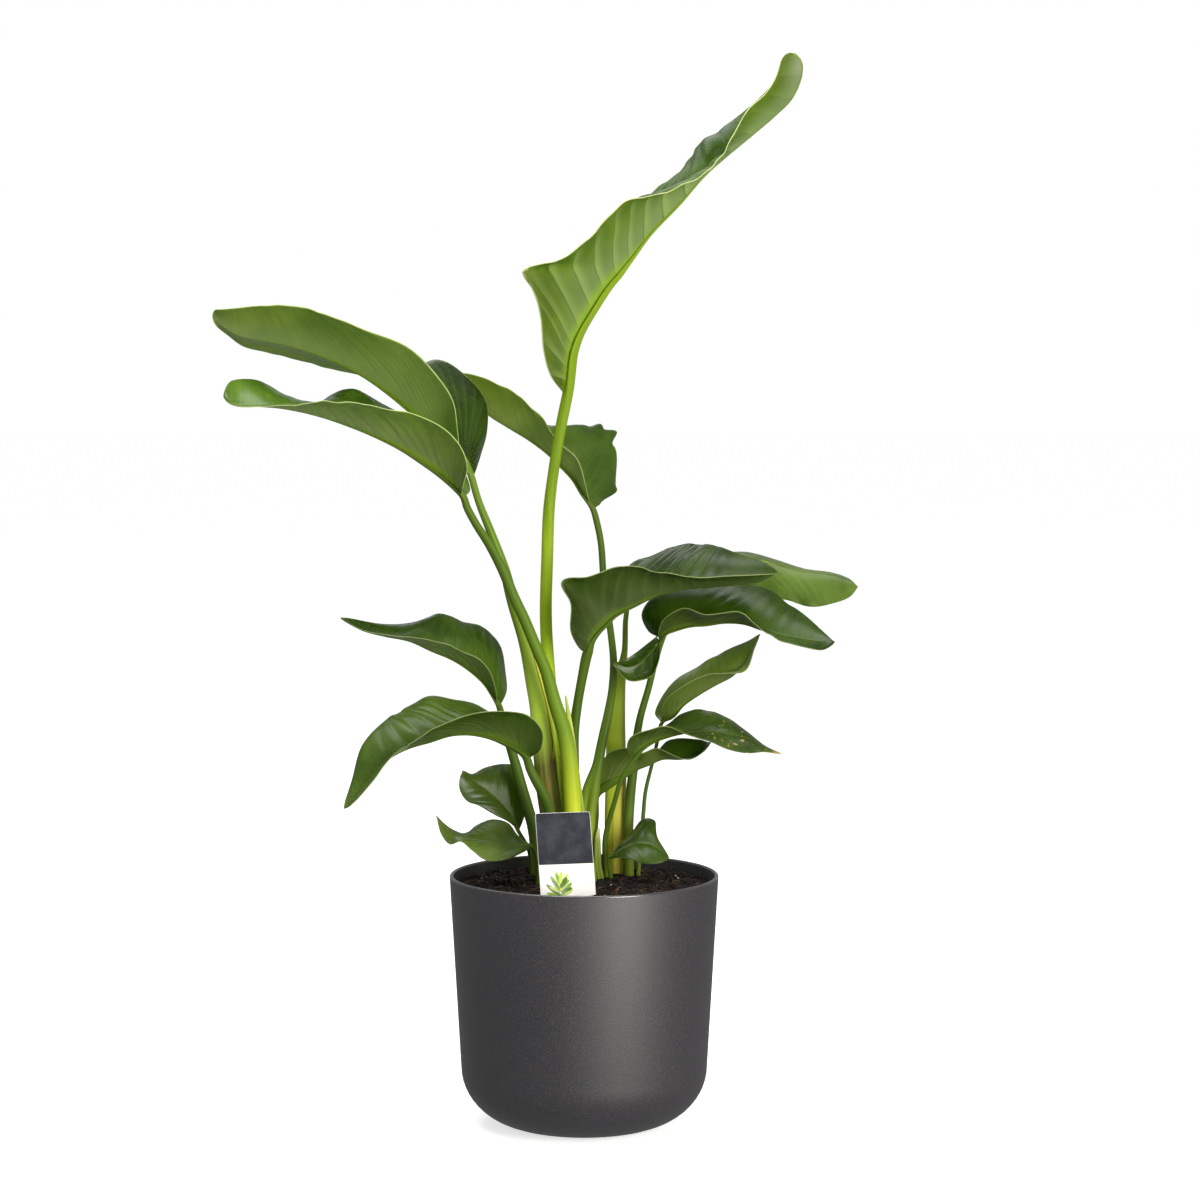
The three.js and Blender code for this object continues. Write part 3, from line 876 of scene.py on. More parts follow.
@dataclass(frozen=True)
class Blade:
    """A blade on three rails, as the eye sees them from base to tip, in mm.

    The midrib's depth runs from depth[0] at the base to depth[1] at the tip, and the near and far
    margins stand off it by up to reach[0] and reach[1]. A rail's point is (across, up), or
    (across, up, depth) where the leaf winds between its neighbours. The sheet meets the midrib
    below its middle by rib_seat, a share of the midrib's radius.
    """

    depth: tuple[float, float]
    reach: tuple[float, float]
    mid: Points
    near: Points
    far: Points
    bulge: float = 0.06
    pleat_width: float = 11.0
    pleat_height: float = 0.6
    sweep: float = 0.28
    ripple: float = 0.6
    scallop: float = 0.0
    rib_radius: float = 3.0
    rib_seat: float = 0.34
    round_tip: float = 0.03

    def leans_right(self) -> bool:
        """Whether the tip is to the right of the base."""
        return self.mid[-1][0] > self.mid[0][0]

    def rail(self, points: Points, reach: float) -> Rail:
        """The rail through points that stand off the midrib's depth by a reach.

        Args:
            points: The rail's points from base to tip.
            reach: The depth that the rail stands behind the midrib by at its fullest.

        Returns:
            The rail in the frame's axes, in mm.
        """
        last = len(points) - 1
        places = []
        for index, (across, up, *depth) in enumerate(points):
            share = index / last
            swell = max(math.sin(math.pi * share**REACH_SKEW), 0) ** REACH_FULLNESS
            even = self.depth[0] + (self.depth[1] - self.depth[0]) * share + reach * swell
            places.append(seen(across, up, depth[0] if depth else even))
        return Rail(np.array(places))

    def rails(self) -> tuple[Rail, Rail, Rail]:
        """The midrib and the near and far margins."""
        return self.rail(self.mid, 0), self.rail(self.near, self.reach[0]), self.rail(self.far, self.reach[1])

    def upward(self, share: np.ndarray) -> np.ndarray:
        """The way that the upper face looks over the midrib.

        Args:
            share: Shares of the midrib's length.

        Returns:
            Unit vectors.
        """
        mid, near, far = self.rails()
        along = mid.at(share + HEADING_STEP) - mid.at(share - HEADING_STEP)
        side = 1 if self.leans_right() else -1
        return side * unit(np.cross(along, far.at(share) - near.at(share)))

    def rib_at(self, share: np.ndarray) -> np.ndarray:
        """The midrib's radius at shares of its length."""
        return np.maximum(self.rib_radius * (1 - share) ** RIB_TAPER, RIB_END_RADIUS)

    def closed(self, places: np.ndarray, share: np.ndarray) -> np.ndarray:
        """Places drawn in toward the middle of the blade near its tip, so that it ends in a round.

        Args:
            places: Places on the blade in mm.
            share: How far along the blade each of them is.

        Returns:
            The places.
        """
        mid, near, far = (rail.at(share) for rail in self.rails())
        middle = (mid + (near + far) / 2) / 2
        into_tip = np.clip((share - 1 + self.round_tip) / self.round_tip, 0, 1)
        return middle + (places - middle) * np.sqrt(1 - into_tip**2)[..., None]

    def rib_line(self, share: np.ndarray) -> np.ndarray:
        """The middle of the midrib in mm, whose lower edge keeps the rail's place."""
        lift = self.rib_lift(share)
        return self.closed(self.rails()[0].at(share) + lift[..., None] * self.upward(share), share)

    def rib_lift(self, share: np.ndarray) -> np.ndarray:
        """How far the middle of the midrib stands over its rail at shares of its length, in mm."""
        return (self.rib_at(share) - RIB_DROP * (1 - share)) * smooth_step(0, RIB_LIFT_END, share)

    def lead(self, share: np.ndarray) -> np.ndarray:
        """How much further along the blade a vein ends on the margin than it starts on the midrib."""
        return self.sweep * smooth_step(0, SWEEP_START, share) * (1 - smooth_step(*SWEEP_FADE, share))

    def stations(self, count: int) -> np.ndarray:
        """Where count + 1 rows start on the midrib so that they lie evenly over the blade.

        Args:
            count: The number of rows, less one.

        Returns:
            Shares of the midrib's length.
        """
        mid, near, _ = self.rails()
        fine = np.linspace(0, 1, EVEN_STEPS)
        places = (mid.at(fine), near.at(fine + self.lead(fine)))
        steps = sum(np.linalg.norm(np.diff(line, axis=0), axis=1) for line in places)
        run = np.concatenate([[0], np.cumsum(steps)])
        even = np.interp(np.linspace(0, run[-1], count + 1), run, fine)
        start = even[-1 - ROWS_A_PLEAT]
        closing = np.sin(np.linspace(0, math.pi / 2, ROWS_A_PLEAT + 1))
        return np.concatenate([even[: -1 - ROWS_A_PLEAT], start + (1 - start) * closing])

    def ruled(self, share: np.ndarray, span: np.ndarray) -> np.ndarray:
        """Places on the straight lines between the midrib and the margins.

        Args:
            share: How far along the blade each place is, by row and column.
            span: How far out each column is: -1 at the near margin and 1 at the far one.

        Returns:
            The places in mm.
        """
        mid, near, far = self.rails()
        rib = mid.at(share)
        margin = np.where(span[None, :, None] < 0, near.at(share), far.at(share))
        return rib + (margin - rib) * np.abs(span)[None, :, None]

    def veins(self, stations: np.ndarray, span: np.ndarray) -> np.ndarray:
        """How far along the blade each vein has run, such that it is straight from rib to margin.

        Args:
            stations: The shares of the midrib where the veins start.
            span: How far out each column is.

        Returns:
            The shares by row and column.
        """
        low = np.repeat(stations[:, None], len(span), axis=1)
        high = low + self.lead(low)
        foot = self.ruled(low, 0 * span)
        chord = self.ruled(high, np.where(span < 0, -1.0, 1.0)) - foot
        across = np.cross(chord, self.upward((low + high) / 2))

        def side(share: np.ndarray) -> np.ndarray:
            """How far past the veins the places at shares of the length lie."""
            return np.sum((self.ruled(share, span) - foot) * across, axis=-1)

        tipward = np.sign(side(high) - side(low))
        for _ in range(VEIN_HALVINGS):
            middle = (low + high) / 2
            past = side(middle) * tipward > 0
            low, high = np.where(past, low, middle), np.where(past, middle, high)
        return (low + high) / 2

    def build(self, name: str, draw: random.Random) -> Piece:
        """The blade as a thin pleated sheet.

        Args:
            name: The piece's name.
            draw: The source of the pleats' uneven heights.

        Returns:
            The piece, whose materials are the upper face, the underside and the rim in that order.
        """
        pleats = max(round(self.rails()[0].length() / self.pleat_width), FEWEST_PLEATS)
        stations = self.stations(pleats * ROWS_A_PLEAT)
        span = np.linspace(-1, 1, 2 * COLUMNS_A_HALF + 1)
        if self.leans_right():
            span = -span
        out = np.abs(span)[None, :]
        swept = self.veins(stations, span)
        reach = self.ruled(swept, np.sign(span)) - self.ruled(swept, 0 * span)
        width = np.linalg.norm(reach, axis=-1)
        places = self.ruled(swept, span) + self.scallops(stations, span, swept, reach)
        arch = 4 * out * (1 - out) * self.bulge * width
        rise = self.rib_lift(swept) - self.rib_seat * self.rib_at(swept)
        fold = rise * (1 - smooth_step(0, FOLD_END, out))
        places = self.closed(places + (arch + fold)[..., None] * self.upward(swept), swept)
        normal = unit(np.cross(np.gradient(places, axis=1), np.gradient(places, axis=0)))
        relief = self.relief(stations, out, pleats, draw) * np.minimum(width / FULL_WIDTH, 1)
        return self.thickened(name, places + relief[..., None] * normal, swept, out)

    def scallops(
        self, stations: np.ndarray, span: np.ndarray, swept: np.ndarray, reach: np.ndarray,
    ) -> np.ndarray:
        """How far the ruffles near the base move the far margin.

        Args:
            stations: The rows' shares along the midrib.
            span: How far out each column is: -1 at the near margin and 1 at the far one.
            swept: How far along the blade each place is, by row and column.
            reach: The way from the midrib to the margin at each place, in mm.

        Returns:
            The moves in mm, by row, column and axis.
        """
        run = np.arange(len(stations))[:, None] / ROWS_A_PLEAT * self.pleat_width
        near_base = 1 - smooth_step(*SCALLOP_FADE, stations)[:, None]
        out = np.abs(span)[None, :]
        bumps = self.scallop * np.sin(run * math.tau / SCALLOP_WAVE) * near_base * (span > 0) * out**6
        narrow = np.minimum(np.linalg.norm(reach, axis=-1) / FULL_WIDTH, 1)
        return (bumps * narrow)[..., None] * (unit(reach) + self.upward(swept))

    def thickened(self, name: str, places: np.ndarray, swept: np.ndarray, out: np.ndarray) -> Piece:
        """The sheet with its map and its thickness.

        Args:
            name: The piece's name.
            places: The places in mm, by row, column and axis.
            swept: How far along the blade each place is.
            out: The columns' shares from the midrib to the margin.

        Returns:
            The piece, whose three material slots are still empty.
        """
        piece = sheet(name, places)
        count = places.shape[:2]
        vein = np.arange(count[0])[:, None] / ROWS_A_PLEAT * np.ones(count)
        add_map(piece, "leaf_map", np.stack([vein, swept, out * np.ones(count)], axis=-1).reshape(-1, 3))
        bpy.ops.object.shade_smooth()
        for _ in range(3):
            piece.data.materials.append(None)
        apply_modifier(
            piece, "SOLIDIFY", thickness=BLADE_THICKNESS * MM, offset=0,
            material_offset=1, material_offset_rim=2,
        )
        return piece

    def relief(self, stations: np.ndarray, out: np.ndarray, pleats: int, draw: random.Random) -> np.ndarray:
        """How far the pleats and the wavy margin stand up, in mm.

        Args:
            stations: The rows' shares along the midrib.
            out: The columns' shares from the midrib to the margin.
            pleats: The number of pleats.
            draw: The source of their uneven heights.

        Returns:
            The heights by row and column.
        """
        rows = np.arange(len(stations)) / ROWS_A_PLEAT
        heights = np.array([0.5 + draw.random() for _ in range(pleats + 1)])
        ends = smooth_step(0, RELIEF_START, stations) * (1 - smooth_step(*RELIEF_FADE, stations))
        ridge = np.sin(math.pi * (rows % 1) ** PLEAT_SKEW) ** PLEAT_ROUNDNESS
        ridge = ridge * heights[rows.astype(int)] * ends
        across = smooth_step(*RELIEF_OUTWARD, out) * (1 - MARGIN_FLATTENING * out**2)
        turn = draw.random() * math.tau
        run = rows * self.pleat_width * math.tau
        wave = np.sin(run / LONG_WAVE + turn) + SHORT_WAVE_SHARE * np.sin(run / SHORT_WAVE + 2 * turn)
        return self.pleat_height * ridge[:, None] * across + self.ripple * (wave * ends)[:, None] * out**4


@dataclass(frozen=True)
class Stalk:
    """A stalk from the blade down to its root in the soil.

    A point is (across, up, depth, radius) as the eye sees it, and root is (x, y, radius) in the
    frame's axes, in mm. The channel that runs down the stalk faces the given angle at the root,
    where 0 is right and -90 is the front, and sheath is the share of its height that clasps.
    """

    points: Points
    root: tuple[float, float, float]
    channel: float = 90.0
    sheath: float = 0.35
    channel_depth: float = 0.3

    def path(self, blade: Blade | None) -> tuple[np.ndarray, np.ndarray, np.ndarray]:
        """The stalk's line from its root up, and on along the midrib where it has a blade.

        Args:
            blade: The blade that it carries, if any.

        Returns:
            The points in mm, their radii, and how high each is: 0 at the root, 1 at the top of the
            stalk and 2 at the blade's tip.
        """
        x, y, radius = self.root
        places = [np.array((x, y, SOIL_LEVEL - ROOT_DEPTH)), np.array((x, y, SOIL_LEVEL + 2))]
        radii = [radius, radius]
        for across, up, depth, point_radius in reversed(self.points):
            places.append(seen(across, up, depth))
            radii.append(point_radius)
        steps = [np.linalg.norm(after - before) for before, after in zip(places, places[1:])]
        heights = list(np.concatenate([[0], np.cumsum(steps)]) / sum(steps))
        if blade:
            shares = np.linspace(RIB_LINE_START, 1, 3 * len(blade.mid))
            places.extend(blade.rib_line(shares))
            radii.extend(blade.rib_at(shares))
            heights.extend(1 + shares)
        return np.array(places), np.array(radii), np.array(heights)

    def build(self, name: str, blade: Blade | None) -> Piece:
        """The stalk as a closed tube with a channel down its inner side.

        Args:
            name: The piece's name.
            blade: The blade that it carries, if any.

        Returns:
            The piece.
        """
        points, radii, rises = self.path(blade)
        rail = Rail(points)
        shares = rail.even(round(rail.length() / STALK_STEP))
        spots = np.linspace(0, 1, len(points))
        radius = np.interp(shares, spots, radii)[:, None]
        height = np.interp(shares, spots, rises)
        centre = rail.at(shares)
        along = unit(rail.at(shares + TANGENT_STEP) - rail.at(shares - TANGENT_STEP))
        front = self.facing(blade, height, along)
        side = np.cross(along, front)
        angle = np.linspace(-math.pi, math.pi, STALK_SIDES + 1)
        clasp = 1 - smooth_step(self.sheath * CLASP_START, self.sheath, height)
        forward, sideways = self.section(radius, height, angle, clasp)
        places = (
            centre[:, None, :]
            + forward[..., None] * front[:, None, :]
            + sideways[..., None] * side[:, None, :]
        )
        piece = sheet(name, places)
        turns, heights = np.meshgrid(angle / math.pi, height)
        stalk_map = np.stack([turns, heights, 0 * turns], axis=-1)
        add_map(piece, "stalk_map", stalk_map.reshape(-1, 3))
        self.close(piece)
        return piece

    def facing(self, blade: Blade | None, height: np.ndarray, along: np.ndarray) -> np.ndarray:
        """The way that the channel looks, and over the blade the way of its upper face.

        Args:
            blade: The blade that the stalk carries, if any.
            height: How high each step is: 1 at the top of the stalk and 2 at the blade's tip.
            along: The stalk's heading at each step.

        Returns:
            Unit vectors across the stalk.
        """
        turned = math.radians(self.channel)
        inward = np.array((math.cos(turned), math.sin(turned), 0.0))
        top = inward
        over = np.tile(inward, (len(height), 1))
        if blade:
            top = blade.upward(np.array([RIB_START]))[0]
            over = blade.upward(np.clip(height - 1, RIB_START, 1))
        turn = smooth_step(*CHANNEL_TURN, height)[:, None]
        front = np.where(height[:, None] > 1, over, inward * (1 - turn) + top * turn)
        return unit(front - along * np.sum(front * along, axis=1, keepdims=True))

    def section(
        self, radius: np.ndarray, height: np.ndarray, angle: np.ndarray, clasp: np.ndarray,
    ) -> tuple[np.ndarray, np.ndarray]:
        """The outline across the stalk, which turns into the flat midrib over the blade.

        Args:
            radius: The radius of each step in mm.
            height: How high each step is.
            angle: The turns from the channel.
            clasp: How far each step is part of the sheath.

        Returns:
            How far each point lies toward the channel and to its side, in mm.
        """
        open_share = OPEN_DEPTH + clasp * CLASPING_DEPTH
        depth = self.channel_depth * open_share * (1 - smooth_step(*CHANNEL_END, height))
        hollow = np.exp(-((angle / CHANNEL_WIDTH) ** 2))[None, :] * depth[:, None]
        lip = np.exp(-(((np.abs(angle) - LIP_ANGLE) / LIP_WIDTH) ** 2))[None, :] * LIP_HEIGHT * clasp[:, None]
        reach = radius * (1 - hollow + lip)
        on_blade = smooth_step(*RIB_TURN, height)[:, None]
        flare = np.exp(-(((np.abs(angle) - FLARE_ANGLE) / FLARE_WIDTH) ** 2))
        widening = 1 + (RIB_WIDENING + FLARE_REACH * flare) * on_blade
        flattening = 1 - RIB_FLATTENING * on_blade * (np.cos(angle) > 0)
        return reach * flattening * np.cos(angle), reach * widening * np.sin(angle)

    def close(self, piece: Piece) -> None:
        """Joins the tube's seam and closes its ends.

        Args:
            piece: The tube.
        """
        edit(piece)
        bpy.ops.mesh.remove_doubles(threshold=SEAM_GAP * MM)
        bpy.ops.mesh.fill_holes(sides=STALK_SIDES + 2)
        bpy.ops.mesh.normals_make_consistent(inside=False)
        leave_edit()
        bpy.ops.object.shade_smooth()


@dataclass(frozen=True)
class Leaf:
    """A leaf: its stalk, its blade or blades, and their finishes."""

    node: str
    blades: tuple[Blade, ...]
    stalk: Stalk
    finish: LeafFinish
    stalk_finish: StalkFinish
    seed: int

    def build(self) -> Piece:
        """The whole leaf as one piece with all its materials.

        Returns:
            The piece.
        """
        draw = random.Random(self.seed)
        tube = self.stalk.build(f"{self.node}_stalk", self.blades[0])
        tube.data.materials.append(self.stalk_finish.material())
        parts = [tube]
        faces = [self.finish.material(face) for face in (Face.UPPER, Face.UNDER)]
        faces.append(self.finish.rim_material())
        for blade in self.blades:
            sheet_piece = blade.build(f"{self.node}_blade", draw)
            for index, material in enumerate(faces):
                sheet_piece.data.materials[index] = material
            parts.append(sheet_piece)
        return finish_piece(join(f"{self.node}_foliage", parts), self.node)


LUSH = LeafFinish("lush", upper_dark=shade(52, 80, 16), upper_light=shade(88, 118, 32))
# LUSH with darker upper colours as painted shade, and the foot of the underside painted lighter as painted
# light from below.
SHADED_LUSH = replace(
    LUSH, name="shaded_lush", upper_dark=shade(26, 40, 8), upper_light=shade(44, 64, 14), under_pleat_shading=0.15,
    under_dark=shade(76, 92, 28), under_light=shade(104, 120, 46), painted_bounce_share=0.98, painted_bounce_reach=0.75,
)
TALL = replace(
    LUSH, name="tall", gloss=0.05, upper_dark=shade(42, 66, 6), upper_light=shade(66, 94, 14),
    under_dark=shade(74, 94, 14), under_light=shade(98, 120, 24), under_pleat_shading=0.5, painted_sheen_share=0.55,
    rib=shade(134, 166, 26), rim=shade(200, 212, 138),
)
DEEP = LeafFinish(
    "deep",
    upper_dark=shade(32, 50, 6), upper_light=shade(58, 82, 13), upper_vein_and_lit=shade(84, 108, 38),
    upper_pleat_shading=0.14, gloss=0.27,
    under_dark=shade(46, 62, 8), under_light=shade(68, 86, 16), under_vein_and_lit=shade(100, 116, 56),
    under_pleat_shading=0.14, painted_sheen=shade(92, 106, 66), painted_sheen_share=0.4, rib=shade(92, 116, 32),
    rim=shade(128, 144, 78), rim_share=0.3,
)
CLEAR = replace(
    DEEP, name="clear", upper_dark=shade(40, 58, 10), upper_light=shade(66, 90, 22),
    under_dark=shade(98, 116, 32), under_light=shade(126, 144, 56), under_vein_and_lit=shade(150, 166, 96),
    rim=shade(150, 166, 92), painted_bounce_share=0.6,
)
PALE = replace(
    CLEAR, name="pale", upper_dark=shade(66, 88, 26), upper_light=shade(98, 122, 48), upper_pleat_shading=0.04,
    under_pleat_shading=0.08,
)
MILD = replace(
    DEEP, name="mild", upper_dark=shade(38, 56, 10), upper_light=shade(64, 88, 20),
    under_dark=shade(76, 92, 28), under_light=shade(102, 120, 46), painted_bounce_share=0.2,
)
# DEEP with lighter upper and under colours painted in, as painted light on a leaf that the lamps leave in
# shade.
PAINTED_LIGHT_DEEP = replace(
    DEEP, name="painted_light_deep", upper_dark=shade(98, 118, 46), upper_light=shade(126, 146, 62),
    under_dark=shade(64, 82, 20), under_light=shade(90, 110, 34),
)
OLIVE = replace(DEEP, name="olive", under_dark=shade(38, 48, 12), under_light=shade(58, 70, 20))
BRIGHT = replace(DEEP, name="bright", upper_dark=shade(50, 72, 16), upper_light=shade(84, 108, 30))
WORN = replace(
    DEEP, name="worn", upper_dark=shade(44, 60, 18), upper_light=shade(68, 88, 28), dry_tip=0.05,
)
FADED = replace(WORN, name="faded", upper_dark=shade(64, 82, 26), upper_light=shade(94, 116, 42))
SPOTTED = replace(
    WORN, name="spotted", upper_dark=shade(36, 52, 12), upper_light=shade(60, 80, 22),
    dry=shade(168, 144, 84), spots=0.8,
)
# The middle tone is painted lighter than the stalk's own green, as painted light where other leaves shade it.
BRIGHT_STALK = StalkFinish(
    "bright", low=shade(182, 206, 40), middle=shade(176, 204, 36), high=shade(106, 136, 16),
    rib=shade(132, 162, 28), blush_share=0.06,
)
LIME_STALK = StalkFinish(
    "lime", low=shade(186, 202, 40), middle=shade(106, 136, 28), high=shade(70, 96, 16),
    rib=shade(94, 118, 26), levels=(0.24, 0.42, 0.84, 1.2), blush_share=0.04,
)
DEEP_STALK = StalkFinish(
    "deep", low=shade(120, 142, 34), middle=shade(68, 94, 20), high=shade(72, 98, 20),
    rib=shade(84, 108, 28),
)
FRESH_STALK = replace(
    DEEP_STALK, name="fresh", low=shade(150, 172, 48), middle=shade(78, 104, 24),
    levels=(0.12, 0.34, 0.84, 1.2),
)
# The middle tone is painted light: far lighter than the sheath's own green, standing in for the bright light
# on its side.
CLASPING_STALK = StalkFinish(
    "clasping", low=shade(86, 84, 32), middle=shade(192, 226, 76), high=shade(82, 114, 26),
    rib=shade(96, 120, 30), levels=(0.32, 0.44, 0.74, 1.2),
    margin=((0.2, -0.64), (0.28, -0.64), (0.37, -0.36), (0.49, -0.42), (0.6, -0.5), (0.63, 0.1)),
    inner_low=shade(92, 94, 34), inner_high=shade(214, 222, 66), blush=shade(150, 92, 44),
    blush_share=0.2,
)
AMBER_STALK = StalkFinish(
    "amber", low=shade(140, 146, 40), middle=shade(160, 180, 44), high=shade(72, 98, 24),
    margin=((0.16, -0.07), (0.3, -0.03), (0.42, 0.47), (0.6, 0.47)),
    edge=shade(160, 116, 48), inner_low=shade(186, 184, 66), inner_high=shade(104, 110, 40),
    inner_from=0.4, blush=shade(170, 104, 36), blush_share=0.2,
)

